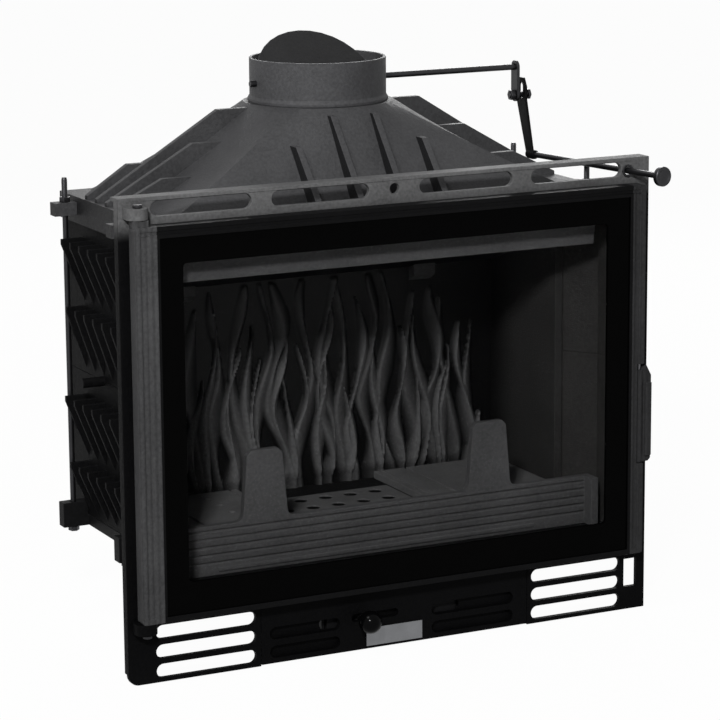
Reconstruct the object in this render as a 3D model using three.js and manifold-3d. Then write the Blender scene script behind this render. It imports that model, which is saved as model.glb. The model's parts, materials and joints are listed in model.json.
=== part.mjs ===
// Fireplace insert: a cast-iron firebox behind a slotted front plate, with a glazed door,
// finned side walls, a ribbed hood, a flue damper worked by a pull rod, and an ash drawer.
// Millimetres. +X right, +Y back, +Z up. The pieces are drawn from the bottom centre of the front
// plate's front face, and the whole is then set back so that its origin is under the ash box.
import * as THREE from "three";
import { mergeVertices } from "three/addons/utils/BufferGeometryUtils.js";
import Module from "manifold-3d";

const wasm = await Module();
wasm.setup();

// Clearances
const seatGap = 0.3; // between pieces that rest on each other
const boreGap = 0.3; // around a pin, rod or bolt in its hole
const runGap = 1; // beside pieces that turn or slide
const past = 5; // how far a cutting tool reaches past the face that it cuts

// Front plate
const plateWidth = 750;
const plateHeight = 614;
const plateThickness = 8;
const topLipDepth = 25;
const sideLipDepth = 14;
const lipThickness = 5;
const footCornerRadius = 14;
const topSlotLength = 135;
const topSlotHeight = 19;
const topSlotDrop = 15; // from the plate's top edge down to the slots' middle
const topSlotInnerEdge = 35.5;
const topSlotWeb = 27;
const topHoleRadius = 7;
const grilleSlotLength = 137;
const grilleSlotHeight = 18;
const grilleSlotPitch = 25.2;
const grilleSlotBottom = 5.5;
const grilleSlotInnerEdge = 200;
const grilleRows = 3;
const keySlotWidth = 20;
const keySlotHeight = 39;
const keySlotBottom = 31;
const keySlotInset = 12; // from the plate's right edge
const fireOpeningWidth = 650;
const fireOpeningBottom = 105;
const fireOpeningTop = 560;
const fireOpeningRadius = 10;

// Door, its glass and its seals
const doorWidth = 720;
const doorHeight = 497;
const doorBottom = 84;
const doorOffset = -4; // of the door's middle from the plate's middle
const doorThickness = 21;
const doorStandOff = 4; // space for the rope seal
const doorCornerRadius = 4;
const doorBackChamfer = 3;
const lipLeft = 33;
const lipRight = 23;
const lipTop = 15;
const lipBottom = 7;
const doorLipThickness = 2.7;
const glassHold = 3.5; // how far the lips cover the glass
const glassThickness = 4;
const glassSealThickness = 2.4;
const sealWidth = 10;
const innerFrameWidth = 22;
const ridgeWidth = 8;
const grooveWidth = 9;
const grooveDepth = 1.5;
const lugMargin = 2; // around the hinge lugs and in the pins' bores
const sealInset = 1; // of the rope seals from the glass's edge

// Hinges
const hingeInset = 9; // of the pins from the door's left edge
const hingeDepth = 14; // of the pins in front of the plate
const hingePinRadius = 4;
const hingePinGrip = 12; // how deep a pin stands in the door
const hingeLugThickness = 8;
const bracketWidth = 29;
const bracketDepth = 25;
const bracketHeight = 14.7;
const pinHeadRadius = 6;
const pinHeadHeight = 4;

// Door latch
const leverBottom = 208;
const leverHeight = 133;
const leverReach = 17; // from the lever's pin to its outer edge
const leverThickness = 8;
const leverPointHeight = 16;
const leverBarWidth = 9;
const leverBarDepth = 5;
const leverBarMargin = 9;
const leverBarInset = 2; // of the bar from the lever's outer edge
const leverCorner = 4;
const latchPinRadius = 2.5;
const latchPinInset = 3; // of the pin from the door's right edge
const latchPinDepth = 16; // of the pin in front of the plate
const latchPinGrip = 6;
const knuckleRadius = 5.5;
const keeperHeight = 70;
const keeperWidth = 9;
const keeperDepth = 9;

// Firebox: base casting, walls, hood flange
const bodyWidth = 630;
const bodyDepth = 340; // from the plate's front face to the back wall's rear face
const flareWidth = 690; // where the walls widen towards the plate
const flareEnd = 60; // depth at which the walls start to draw in
const flareTaper = 40;
const wallThickness = 12;
const slabBottom = 135;
const slabThickness = 15;
const shelfBottom = 100;
const shelfThickness = 13;
const riserFront = 58;
const riserThickness = 8;
const wallTop = 540;
const wallSplit = 343;
const finCount = 6;
const finPitch = 31;
const finRear = 275;
const finThickness = 6;
const finReachUpperRow = 29.5;
const finReachLowerRow = 25;
const finTopDrop = 18; // from the wall's top to the upper fins
const finRowPitch = 90;
const finRowHeight = 83;
const finModulePitch = 208;
const finTip = 7;
const studRadius = 6.5;
const studReach = 30;
const studDepth = 213;

// Tie rods that clamp hood, walls and base
const tieRodRadius = 4;
const tieRodRearX = 333;
const tieRodRearY = 288;
const tieRodFrontX = 336;
const tieRodFrontY = 94;
const tieRodStickUp = 32;
const tieLugWidth = 18;
const tieLugReach = 350;
const tieLugRise = 18; // of the lower lugs above the slab
const tieLugDrop = 24; // of the upper lugs' lower face below the hood's shelf
const tieLugHeight = 17;
const nutWidth = 13;
const nutHeight = 6.5;

// Hood and flue collar
const hoodOverhang = 5;
const hoodFront = 14;
const hoodFlangeHeight = 35;
const hoodPlateThickness = 12;
const hoodBaseWidth = 560;
const hoodBaseFront = 52;
const hoodBaseRear = 332;
const hoodRise = 113;
const hoodTopRadius = 99;
const hoodBulge = 1.4;
const flueDepth = 221;
const collarRadius = 90;
const collarWall = 4;
const collarHeight = 57;
const collarFootWidth = 2.5; // how much wider the collar is at its foot
const collarFootHeight = 4;
const ribThickness = 9;
const ribEdge = 3; // how far the ribs' feet stay from the flange's edge
const ribFoot = 5;
const ribRoot = 15; // how far a rib's flat top runs on into the hood's wall
const sideRibRear = 253;
const sideRibPitch = 34;
const sideRibs = [
  { corner: 260, height: 42, flat: 24 },
  { corner: 147, height: 109.5, flat: 29 },
  { corner: 197.6, height: 73, flat: 37.6 },
  { corner: 254, height: 36, flat: 38 },
];
const frontRibs = [
  { offset: 30, corner: 112, height: 105, flat: 16 },
  { offset: 90, corner: 90, height: 72, flat: 20 },
];

// Damper and its linkage
const discRadius = 83;
const discThickness = 4;
const discTilt = 45; // degrees from level at rest
const discHubRadius = 7.5;
const discHubLength = 116;
const shaftRadius = 4;
const shaftDrop = 31; // of the shaft below the collar's rim
const shaftLeftReach = 98;
const shaftRightReach = 302;
const crankLength = 38;
const crankThickness = 4;
const crankHalfWidth = 9;
const crankInset = 2; // of the crank from the shaft's end
const crankBoltRadius = 4;
const crankBoltHead = 4;
const crankBoltEnd = 1; // of the bolt past its nut
const linkGap = 6; // between crank and link, taken up as the rod slides
const linkThickness = 4;
const linkHalfWidth = 12;
const linkFootHalfWidth = 8;
const linkFootDepth = 195;
const linkSlotGap = 1.7;
const linkBossRadius = 6;
const pullTurn = 45; // degrees that the damper turns either way
const pullRodRadius = 4;
const pullRodX = 342;
const pullRodZ = 597;
const pullRodAngle = 9.6; // degrees, seen from above
const pullRodFront = 66;
const pullKnobRadius = 13;
const pullKnobThickness = 9;
const pullKnobDish = 3;
const bushRadius = 7.2;
const bushBore = 5.2;
const bushFlangeRadius = 8.6;
const bushFlangeThickness = 2;

// Inside the firebox
const linerThickness = 11;
const linerFront = 100;
const linerFrontTop = 503;
const linerRearTop = 441;
const backLinerFace = 278;
const backLinerThickness = 12;
const backLinerTop = 490;
const spacerWidth = 20;
const spacerOffset = 180;
const flameRelief = 6;
const flameRows = 2;
const flameCount = 9;
const flameWidth = 62;
const flameHeight = 250;
const flameLean = 24;
const flameSpread = 0.22; // share of the height that the tongues differ by
const flameTurn = 2.3; // radians from one tongue's height to the next one's
const flameInnerShare = 0.62; // size of the inner tongues against the outer ones
const floorThickness = 9.7;
const floorFront = 58.5;
const floorGrooveDepth = 3;
const floorGrooveWidth = 4;
const floorHoleX = 158;
const floorSeamLeft = 215;
const floorSeamRight = 150;
const floorHoleRadius = 5;
const floorHolePitch = 38;
const floorHoleCount = 5;
const grateWidth = 207;
const grateFront = 68;
const grateRear = 232;
const grateThickness = 7.7;
const grateLedge = 9;
const grateHoleRadius = 9.5;
const grateHolePitchX = 37.5;
const grateHolePitchY = 40;
const grateColumns = 5;
const grateRows = 4;
const guardWidth = 640;
const guardThickness = 10;
const guardHeight = 66;
const guardGrooves = 5;
const guardGroovePitch = 10.5;
const guardGrooveWidth = 3;
const guardGrooveDepth = 1.5;
const guardBeadWidth = 462;
const guardBeadHeight = 5;
const guardBeadDepth = 2;
const guardReturnDepth = 28;
const guardReturnThickness = 11;
const hornOffset = 163;
const hornTopHalfWidth = 25;
const hornBaseHalfWidth = 31;
const hornFillet = 12;
const hornHeight = 91;
const baffleWidth = 592;
const baffleBottom = 503;
const baffleTop = 570;
const baffleEndSlant = 6;
const deflectorThickness = 9;
const deflectorFront = 112;
const pegOffset = 179;
const pegWidth = 33;
const pegHeight = 19;
const pegDepth = 16;

// Ash box, ash drawer and air shutter
const ashBoxWidth = 200;
const ashBoxFront = 18;
const ashBoxRear = 245;
const ashBoxWall = 4;
const panHeight = 70;
const panWall = 2;
const panFront = 14;
const panSideGap = 2;
const panRearGap = 5;
const drawerWidth = 386;
const drawerTop = 79;
const drawerBottom = 1.5;
const drawerSlotHeight = 16;
const drawerUpperSlotBottom = 33;
const drawerLowerSlotBottom = 8.5;
const drawerLeftSlotInner = -82;
const drawerLeftSlotLength = 99;
const drawerRightSlotInner = 51;
const drawerRightSlotLength = 121;
const drawerLugOffset = 60;
const drawerLugWidth = 24;
const controlSlotLeft = -65;
const controlSlotLength = 67;
const controlSlotHeight = 10;
const controlSlotBottom = 40;
const shutterLeft = -188;
const shutterRight = 145;
const shutterHoleLength = 78;
const shutterLeftHole = -108;
const shutterRightHole = 17;
const shutterThickness = 2;
const shutterMargin = 2.5;
const shutterStemX = -51;
const shutterStemRadius = 3.5;
const shutterKnobRadius = 15;
const shutterKnobReach = 25; // of the ball's middle in front of the plate
const shutterKnobFlat = 12; // of the ball's flat back from its middle
const blankPlateWidth = 81;
const blankPlateHeight = 24;
const blankPlateThickness = 1.6;
const blankPlateX = -4.5;
const blankPlateBottom = 5.5;

// Places worked out from the sizes above
const plateHalf = plateWidth / 2;
const bodyHalf = bodyWidth / 2;
const flareHalf = flareWidth / 2;
const bodyFront = plateThickness + seatGap;
const slabTop = slabBottom + slabThickness;
const shelfTop = shelfBottom + shelfThickness;
const hoodBottom = wallTop + seatGap;
const hoodShelf = wallTop + hoodFlangeHeight;
const hoodTop = hoodShelf + hoodRise;
const collarBottom = hoodTop + seatGap;
const collarTop = hoodTop + collarHeight;
const shaftHeight = collarTop - shaftDrop;
const doorLeft = doorOffset - doorWidth / 2;
const doorRight = doorOffset + doorWidth / 2;
const doorTop = doorBottom + doorHeight;
const doorBack = -doorStandOff;
const doorFront = doorBack - doorThickness;
const hingeX = doorLeft + hingeInset;
const glassFront = doorFront + doorLipThickness + seatGap;
const glassBack = glassFront + glassThickness;
const latchPinX = doorRight - latchPinInset;
const leverTop = leverBottom + leverHeight;
const drawerOpening = (drawerWidth + runGap) / 2;
const linerFace = bodyHalf - wallThickness - seatGap - linerThickness;
const linerSlope = (linerFrontTop - linerRearTop) / (backLinerFace - linerFront);
const floorTop = slabTop + seatGap + floorThickness;
const crankHeight = shaftHeight - crankLength;
const crankRight = shaftRightReach - crankInset;
const linkLeft = crankRight + linkGap;
const pullTravel = crankLength * Math.sin(THREE.MathUtils.degToRad(pullTurn));
const shutterStemZ = controlSlotBottom + controlSlotHeight / 2;

// Materials
function finish(name, color, roughness, metalness) {
  return new THREE.MeshStandardMaterial({ name, color, roughness, metalness, flatShading: true });
}
const castIron = finish("cast_iron", 0x17171a, 0.6, 0.35);
const enamel = finish("black_enamel", 0x101013, 0.4, 0.2);
const steel = finish("bright_steel", 0x9a9a9c, 0.3, 0.9);
const glass = finish("fire_glass", 0x0b0c10, 0.08, 0);
const rope = finish("seal_rope", 0x3a3936, 0.95, 0);
const knobBlack = finish("knob_black", 0x0c0c0d, 0.3, 0);
const nickel = finish("plain_plate", 0xb9bbbf, 0.35, 0.9);

// Solids: closed geometry becomes a solid, which can be joined and cut
function solidFrom(geometry) {
  geometry.deleteAttribute("normal");
  geometry.deleteAttribute("uv");
  const merged = mergeVertices(geometry, 1e-4);
  const corners = merged.index.array;
  const triangles = [];
  for (let i = 0; i < corners.length; i += 3) {
    const [a, b, c] = corners.slice(i, i + 3);
    if (a !== b && b !== c && a !== c) triangles.push(a, b, c);
  }
  return new wasm.Manifold(
    new wasm.Mesh({
      numProp: 3,
      vertProperties: new Float32Array(merged.attributes.position.array),
      triVerts: new Uint32Array(triangles),
    }),
  );
}

function geometryFrom(solid) {
  const mesh = solid.getMesh();
  return new THREE.BufferGeometry()
    .setAttribute("position", new THREE.BufferAttribute(new Float32Array(mesh.vertProperties), 3))
    .setIndex(new THREE.BufferAttribute(new Uint32Array(mesh.triVerts), 1));
}

function join(...solids) {
  return solids.reduce((whole, solid) => whole.add(solid));
}

function cut(solid, ...tools) {
  return solid.subtract(join(...tools));
}

function mirroredX(solid) {
  const geometry = geometryFrom(solid).scale(-1, 1, 1);
  const index = geometry.index.array;
  for (let i = 0; i < index.length; i += 3) {
    [index[i + 1], index[i + 2]] = [index[i + 2], index[i + 1]];
  }
  return solidFrom(geometry);
}

function block([x0, x1], [y0, y1], [z0, z1]) {
  const geometry = new THREE.BoxGeometry(x1 - x0, y1 - y0, z1 - z0);
  geometry.translate((x0 + x1) / 2, (y0 + y1) / 2, (z0 + z1) / 2);
  return solidFrom(geometry);
}

function polygon(points) {
  return new THREE.Shape(points.map(([u, v]) => new THREE.Vector2(u, v)));
}

function circle(u, v, radius) {
  return new THREE.Shape().absarc(u, v, radius, 0, 2 * Math.PI);
}

function slot(u0, u1, v0, v1) {
  const radius = (v1 - v0) / 2;
  const middle = (v0 + v1) / 2;
  return new THREE.Shape()
    .absarc(u1 - radius, middle, radius, -Math.PI / 2, Math.PI / 2)
    .absarc(u0 + radius, middle, radius, Math.PI / 2, 1.5 * Math.PI);
}

function roundedBox(u0, u1, v0, v1, radius) {
  return new THREE.Shape()
    .absarc(u1 - radius, v0 + radius, radius, -Math.PI / 2, 0)
    .absarc(u1 - radius, v1 - radius, radius, 0, Math.PI / 2)
    .absarc(u0 + radius, v1 - radius, radius, Math.PI / 2, Math.PI)
    .absarc(u0 + radius, v0 + radius, radius, Math.PI, 1.5 * Math.PI);
}

function hexagon(u, v, width) {
  const corner = width / Math.sqrt(3);
  const turns = [0, 1, 2, 3, 4, 5].map((i) => (i * Math.PI) / 3);
  return polygon(turns.map((t) => [u + corner * Math.cos(t), v + corner * Math.sin(t)]));
}

// An outline pushed along an axis. Its own u and v are the other two axes, in the order x, y, z.
function prism(outline, axis, from, to, curveSegments = 6) {
  const shape = Array.isArray(outline) ? polygon(outline) : outline;
  const geometry = new THREE.ExtrudeGeometry(shape, {
    depth: to - from,
    bevelEnabled: false,
    curveSegments,
  });
  if (axis === "y") {
    geometry.translate(0, 0, -to).rotateX(Math.PI / 2);
  } else {
    geometry.translate(0, 0, from);
  }
  if (axis === "x") {
    const u = new THREE.Vector3(0, 1, 0);
    const v = new THREE.Vector3(0, 0, 1);
    const depth = new THREE.Vector3(1, 0, 0);
    geometry.applyMatrix4(new THREE.Matrix4().makeBasis(u, v, depth));
  }
  return solidFrom(geometry);
}

// A profile of [radius, height] points, counterclockwise, turned about the vertical axis at x, y
function turned(profile, x = 0, y = 0, segments = 32) {
  const points = [...profile, profile[0]].map(([r, z]) => new THREE.Vector2(r, z));
  const geometry = new THREE.LatheGeometry(points, segments);
  geometry.rotateX(Math.PI / 2).translate(x, y, 0);
  return solidFrom(geometry);
}

function ring(outer, inner, axis, from, to) {
  return cut(prism(outer, axis, from, to), prism(inner, axis, from - past, to + past));
}

// Scene graph: a body is a group at its pivot, and a piece is a named mesh in a body
function bodyAt(parent, x, y, z) {
  const group = new THREE.Group();
  const pivot = new THREE.Vector3(x, y, z);
  const parentPivot = parent.userData.pivot ?? new THREE.Vector3();
  group.userData.pivot = pivot;
  group.position.copy(pivot).sub(parentPivot);
  parent.add(group);
  return group;
}

function piece(parent, name, material, solid) {
  const pivot = parent.userData.pivot ?? new THREE.Vector3();
  const geometry = geometryFrom(solid).translate(-pivot.x, -pivot.y, -pivot.z);
  const mesh = new THREE.Mesh(geometry, material);
  mesh.name = name;
  parent.add(mesh);
  return mesh;
}

// Outline of the firebox seen from above, wider at the front where it meets the plate
function bodyOutline(grow, front, rear) {
  const half = bodyHalf + grow;
  const flare = flareHalf + grow;
  return [
    [-flare, front],
    [flare, front],
    [flare, flareEnd],
    [half, flareEnd + flareTaper],
    [half, rear],
    [-half, rear],
    [-half, flareEnd + flareTaper],
    [-flare, flareEnd],
  ];
}

function topSlots() {
  const middle = plateHeight - topSlotDrop;
  const low = middle - topSlotHeight / 2;
  const high = middle + topSlotHeight / 2;
  const slots = [prism(circle(0, middle, topHoleRadius), "y", -past, plateThickness + past)];
  for (const side of [-1, 1]) {
    for (const place of [0, 1]) {
      const inner = topSlotInnerEdge + place * (topSlotLength + topSlotWeb);
      const ends = [side * inner, side * (inner + topSlotLength)].sort((a, b) => a - b);
      slots.push(prism(slot(...ends, low, high), "y", -past, plateThickness + past));
    }
  }
  return join(...slots);
}

function grilleSlots() {
  const slots = [];
  for (const side of [-1, 1]) {
    for (let row = 0; row < grilleRows; row++) {
      const low = grilleSlotBottom + row * grilleSlotPitch;
      const outer = grilleSlotInnerEdge + grilleSlotLength;
      const ends = [side * grilleSlotInnerEdge, side * outer].sort((a, b) => a - b);
      const outline = slot(...ends, low, low + grilleSlotHeight);
      slots.push(prism(outline, "y", -past, plateThickness + past));
    }
  }
  return join(...slots);
}

function frontPlate() {
  const outline = new THREE.Shape()
    .absarc(-plateHalf + footCornerRadius, footCornerRadius, footCornerRadius, Math.PI, 1.5 * Math.PI)
    .lineTo(plateHalf, 0)
    .lineTo(plateHalf, plateHeight)
    .lineTo(-plateHalf, plateHeight);
  const sheet = prism(outline, "y", 0, plateThickness);
  const inside = plateHalf - lipThickness;
  const topLip = block([-plateHalf, plateHalf], [0, topLipDepth], [plateHeight - lipThickness, plateHeight]);
  const rightLip = block([inside, plateHalf], [0, sideLipDepth], [0, plateHeight]);
  const leftLip = block([-plateHalf, -inside], [0, sideLipDepth], [footCornerRadius, plateHeight]);
  const keySlotRight = plateHalf - keySlotInset;
  const through = [-past, plateThickness + past];
  return cut(
    join(sheet, topLip, rightLip, leftLip),
    topSlots(),
    grilleSlots(),
    block([keySlotRight - keySlotWidth, keySlotRight], through, [keySlotBottom, keySlotBottom + keySlotHeight]),
    prism(circle(pullRodX, pullRodZ, bushRadius + boreGap), "y", ...through),
    block([-drawerOpening, drawerOpening], through, [-past, drawerTop + runGap / 2]),
    prism(
      roundedBox(
        -fireOpeningWidth / 2,
        fireOpeningWidth / 2,
        fireOpeningBottom,
        fireOpeningTop,
        fireOpeningRadius,
      ),
      "y",
      ...through,
    ),
  );
}

function hingeBracket(bottom) {
  const left = hingeX - bracketWidth / 2;
  const outline = new THREE.Shape()
    .absarc(hingeX, -bracketDepth + bracketWidth / 2, bracketWidth / 2, Math.PI, 2 * Math.PI)
    .lineTo(left + bracketWidth, -seatGap)
    .lineTo(left, -seatGap);
  const bore = prism(circle(hingeX, -hingeDepth, hingePinRadius + boreGap), "z", bottom - past, bottom + bracketHeight + past);
  return cut(prism(outline, "z", bottom, bottom + bracketHeight), bore);
}

// A pin standing on end, with its head above or below
function hingePin(low, high, headLow) {
  return join(
    prism(circle(hingeX, -hingeDepth, hingePinRadius), "z", low, high),
    prism(circle(hingeX, -hingeDepth, pinHeadRadius), "z", headLow, headLow + pinHeadHeight),
  );
}

function baseCasting() {
  const profile = [
    [bodyFront, shelfBottom],
    [riserFront + riserThickness, shelfBottom],
    [riserFront + riserThickness, slabBottom],
    [bodyDepth, slabBottom],
    [bodyDepth, slabTop],
    [riserFront, slabTop],
    [riserFront, shelfTop],
    [bodyFront, shelfTop],
  ];
  const plan = prism(bodyOutline(0, bodyFront, bodyDepth), "z", shelfBottom - past, slabTop + past);
  const casting = prism(profile, "x", -flareHalf, flareHalf).intersect(plan);
  const seat = grateWidth / 2 + seatGap;
  const hole = seat - grateLedge;
  const ledge = slabTop - grateThickness - seatGap;
  const seatDepth = [grateFront - seatGap, grateRear + seatGap];
  const holeDepth = [grateFront + grateLedge, grateRear - grateLedge];
  return cut(
    join(casting, tieLugs(slabBottom, slabTop + tieLugRise)),
    block([-seat, seat], seatDepth, [ledge, slabTop + past]),
    block([-hole, hole], holeDepth, [slabBottom - past, slabTop + past]),
    prism(bodyOutline(seatGap, bodyFront, bodyDepth), "z", slabTop, slabTop + tieLugRise + past),
    tieBores(slabBottom - past, slabTop + tieLugRise + past),
  );
}

const tieRodPlaces = [
  [-tieRodFrontX, tieRodFrontY, "front_left"],
  [tieRodFrontX, tieRodFrontY, "front_right"],
  [-tieRodRearX, tieRodRearY, "rear_left"],
  [tieRodRearX, tieRodRearY, "rear_right"],
];

// Square lugs at the sides that the tie rods pass through
function tieLugs(low, high) {
  const lugs = tieRodPlaces.map(([x, y]) => {
    const ends = [Math.sign(x) * (bodyHalf - past), Math.sign(x) * tieLugReach].sort((a, b) => a - b);
    return block(ends, [y - tieLugWidth / 2, y + tieLugWidth / 2], [low, high]);
  });
  return join(...lugs);
}

function tieBores(low, high) {
  return join(...tieRodPlaces.map(([x, y]) => prism(circle(x, y, tieRodRadius + boreGap), "z", low, high)));
}

// One side of the firebox, upper or lower half, with its two rows of tapered fins
function sideWall(low, high, finShift, hasStud) {
  const inner = bodyHalf - wallThickness;
  const outline = [
    [bodyHalf, bodyDepth],
    [inner, bodyDepth],
    [inner, flareEnd + flareTaper - wallThickness / 4],
    [flareHalf - wallThickness, flareEnd - wallThickness / 4],
    [flareHalf - wallThickness, bodyFront],
    [flareHalf, bodyFront],
    [flareHalf, flareEnd],
    [bodyHalf, flareEnd + flareTaper],
  ];
  const parts = [prism(outline, "z", low, high)];
  for (let row = 0; row < 2; row++) {
    const top = wallTop - finTopDrop - finShift - row * finRowPitch;
    const bottom = Math.max(top - finRowHeight, low + finTip);
    const reach = bodyHalf + (row ? finReachLowerRow : finReachUpperRow);
    const fin = [
      [bodyHalf - 1, bottom],
      [bodyHalf, bottom],
      [reach, top - finTip],
      [reach, top],
      [bodyHalf - 1, top],
    ];
    for (let i = 0; i < finCount; i++) {
      const y = finRear - i * finPitch;
      parts.push(prism(fin, "y", y - finThickness / 2, y + finThickness / 2));
    }
  }
  const wall = join(...parts);
  if (!hasStud) return wall;
  const stud = prism(circle(studDepth, wallSplit, studRadius), "x", inner, bodyHalf + studReach);
  const below = block([inner - past, bodyHalf + seatGap], [0, bodyDepth], [low - 2 * studRadius, low]);
  return join(wall, cut(stud, below, block([inner - past, inner + 1], [0, bodyDepth], [low, high])));
}

function backWall() {
  const half = bodyHalf - wallThickness - seatGap;
  return block([-half, half], [bodyDepth - wallThickness, bodyDepth], [slabTop + seatGap, wallTop]);
}

// Hood: a rectangle at the shelf that draws in to a circle under the collar
function hoodLoft(inset, low, high) {
  const sides = 40;
  const steps = 5;
  const middle = (hoodBaseFront + hoodBaseRear) / 2;
  const halfWidth = hoodBaseWidth / 2 - inset;
  const halfDepth = (hoodBaseRear - hoodBaseFront) / 2 - inset;
  const radius = hoodTopRadius - inset;
  const levels = [[0, low]];
  for (let i = 0; i <= steps; i++) {
    levels.push([i / steps, hoodShelf + (i / steps) * hoodRise]);
  }
  levels.push([1, high]);
  const rings = levels.filter(([, z], i) => i === 0 || z > levels[i - 1][1]);
  const positions = [];
  for (const [rise, z] of rings) {
    const round = rise ** hoodBulge;
    for (let i = 0; i < sides; i++) {
      const turn = (i / sides) * 2 * Math.PI;
      const [c, s] = [Math.cos(turn), Math.sin(turn)];
      const square = Math.max(Math.abs(c), Math.abs(s));
      positions.push(
        THREE.MathUtils.lerp((halfWidth * c) / square, radius * c, round),
        THREE.MathUtils.lerp(middle + (halfDepth * s) / square, flueDepth + radius * s, round),
        z,
      );
    }
  }
  const bottomCentre = positions.length / 3;
  const topCentre = bottomCentre + 1;
  positions.push(0, middle, rings[0][1], 0, flueDepth, rings[rings.length - 1][1]);
  const index = [];
  const last = (rings.length - 1) * sides;
  for (let i = 0; i < sides; i++) {
    const next = (i + 1) % sides;
    for (let level = 0; level < last; level += sides) {
      index.push(level + i, level + next, level + sides + next);
      index.push(level + i, level + sides + next, level + sides + i);
    }
    index.push(bottomCentre, next, i);
    index.push(topCentre, last + i, last + next);
  }
  const geometry = new THREE.BufferGeometry();
  geometry.setAttribute("position", new THREE.Float32BufferAttribute(positions, 3));
  return solidFrom(geometry.setIndex(index));
}

function hoodRibs() {
  const sideFoot = bodyHalf + hoodOverhang - ribEdge;
  const frontFoot = hoodFront + hoodPlateThickness + ribEdge;
  const ribs = [];
  for (const [place, rib] of sideRibs.entries()) {
    const depth = sideRibRear - place * sideRibPitch;
    const inner = rib.corner - rib.flat - ribRoot;
    const outline = [
      [inner, hoodShelf - 1],
      [sideFoot, hoodShelf - 1],
      [sideFoot, hoodShelf + ribFoot],
      [rib.corner, hoodShelf + rib.height],
      [inner, hoodShelf + rib.height],
    ];
    const right = prism(outline, "y", depth - ribThickness / 2, depth + ribThickness / 2);
    ribs.push(right, mirroredX(right));
  }
  for (const rib of frontRibs) {
    const inner = rib.corner + rib.flat + ribRoot;
    const outline = [
      [frontFoot, hoodShelf - 1],
      [inner, hoodShelf - 1],
      [inner, hoodShelf + rib.height],
      [rib.corner, hoodShelf + rib.height],
      [frontFoot, hoodShelf + ribFoot],
    ];
    const right = prism(outline, "x", rib.offset - ribThickness / 2, rib.offset + ribThickness / 2);
    ribs.push(right, mirroredX(right));
  }
  return join(...ribs);
}

function hood() {
  const flange = prism(bodyOutline(hoodOverhang, hoodFront, bodyDepth), "z", hoodBottom, hoodShelf);
  const lugLow = hoodShelf - tieLugDrop;
  const chamberOutline = bodyOutline(-wallThickness, hoodFront + wallThickness, bodyDepth - wallThickness);
  const chamber = prism(chamberOutline, "z", hoodBottom - past, hoodShelf - hoodPlateThickness);
  const throat = hoodTopRadius - collarRadius + collarWall;
  return cut(
    join(flange, hoodLoft(0, hoodShelf - 1, hoodTop), hoodRibs(), tieLugs(lugLow, lugLow + tieLugHeight)),
    chamber,
    hoodLoft(throat, hoodShelf - hoodPlateThickness - 1, hoodTop + past),
    tieBores(lugLow - past, lugLow + tieLugHeight + past),
  );
}

function flueCollar() {
  const inner = collarRadius - collarWall;
  const profile = [
    [inner, collarBottom],
    [collarRadius + collarFootWidth, collarBottom],
    [collarRadius + collarFootWidth, collarBottom + collarFootHeight],
    [collarRadius, collarBottom + 2 * collarFootHeight],
    [collarRadius, collarTop],
    [inner, collarTop],
  ];
  const bore = prism(circle(flueDepth, shaftHeight, shaftRadius + boreGap), "x", -collarRadius - past, collarRadius + past);
  return cut(turned(profile, 0, flueDepth, 40), bore);
}

// Damper: a disc on a shaft, with a crank outside that a sliding rod turns through a slotted link
function damperDisc() {
  const disc = prism(circle(0, 0, discRadius), "z", -discThickness / 2, discThickness / 2, 16);
  const hub = prism(circle(0, 0, discHubRadius), "x", -discHubLength / 2, discHubLength / 2);
  const bore = prism(circle(0, 0, shaftRadius + boreGap), "x", -discRadius - past, discRadius + past);
  const geometry = geometryFrom(cut(join(disc, hub), bore));
  geometry.rotateX(THREE.MathUtils.degToRad(discTilt)).translate(0, flueDepth, shaftHeight);
  return solidFrom(geometry);
}

function damperShaft() {
  return prism(circle(flueDepth, shaftHeight, shaftRadius), "x", -shaftLeftReach, shaftRightReach);
}

function crankArm() {
  const outline = new THREE.Shape()
    .absarc(flueDepth, shaftHeight, crankHalfWidth, 0, Math.PI)
    .absarc(flueDepth, crankHeight, crankHalfWidth, Math.PI, 2 * Math.PI);
  const ends = [crankRight - crankThickness, crankRight];
  const through = [ends[0] - past, ends[1] + past];
  return cut(
    prism(outline, "x", ...ends),
    prism(circle(flueDepth, shaftHeight, shaftRadius + boreGap), "x", ...through),
    prism(circle(flueDepth, crankHeight, crankBoltRadius + boreGap), "x", ...through),
  );
}

function crankBolt() {
  const shift = pullTravel * Math.sin(THREE.MathUtils.degToRad(pullRodAngle));
  const headLeft = linkLeft + linkThickness + shift + runGap;
  const left = crankRight - crankThickness - seatGap - nutHeight - crankBoltEnd;
  return join(
    prism(circle(flueDepth, crankHeight, crankBoltRadius), "x", left, headLeft + 1),
    prism(hexagon(flueDepth, crankHeight, nutWidth), "x", headLeft, headLeft + crankBoltHead),
  );
}

function crankNut() {
  const right = crankRight - crankThickness - seatGap;
  const bore = circle(flueDepth, crankHeight, crankBoltRadius + boreGap);
  return ring(hexagon(flueDepth, crankHeight, nutWidth), bore, "x", right - nutHeight, right);
}

const pullTilt = THREE.MathUtils.degToRad(pullRodAngle);

// A solid made along the pull rod's own line, put in its place: the origin is in the bush
function alongPullRod(solid) {
  const geometry = geometryFrom(solid).rotateZ(pullTilt);
  return solidFrom(geometry.translate(pullRodX, plateThickness / 2, pullRodZ));
}

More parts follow.
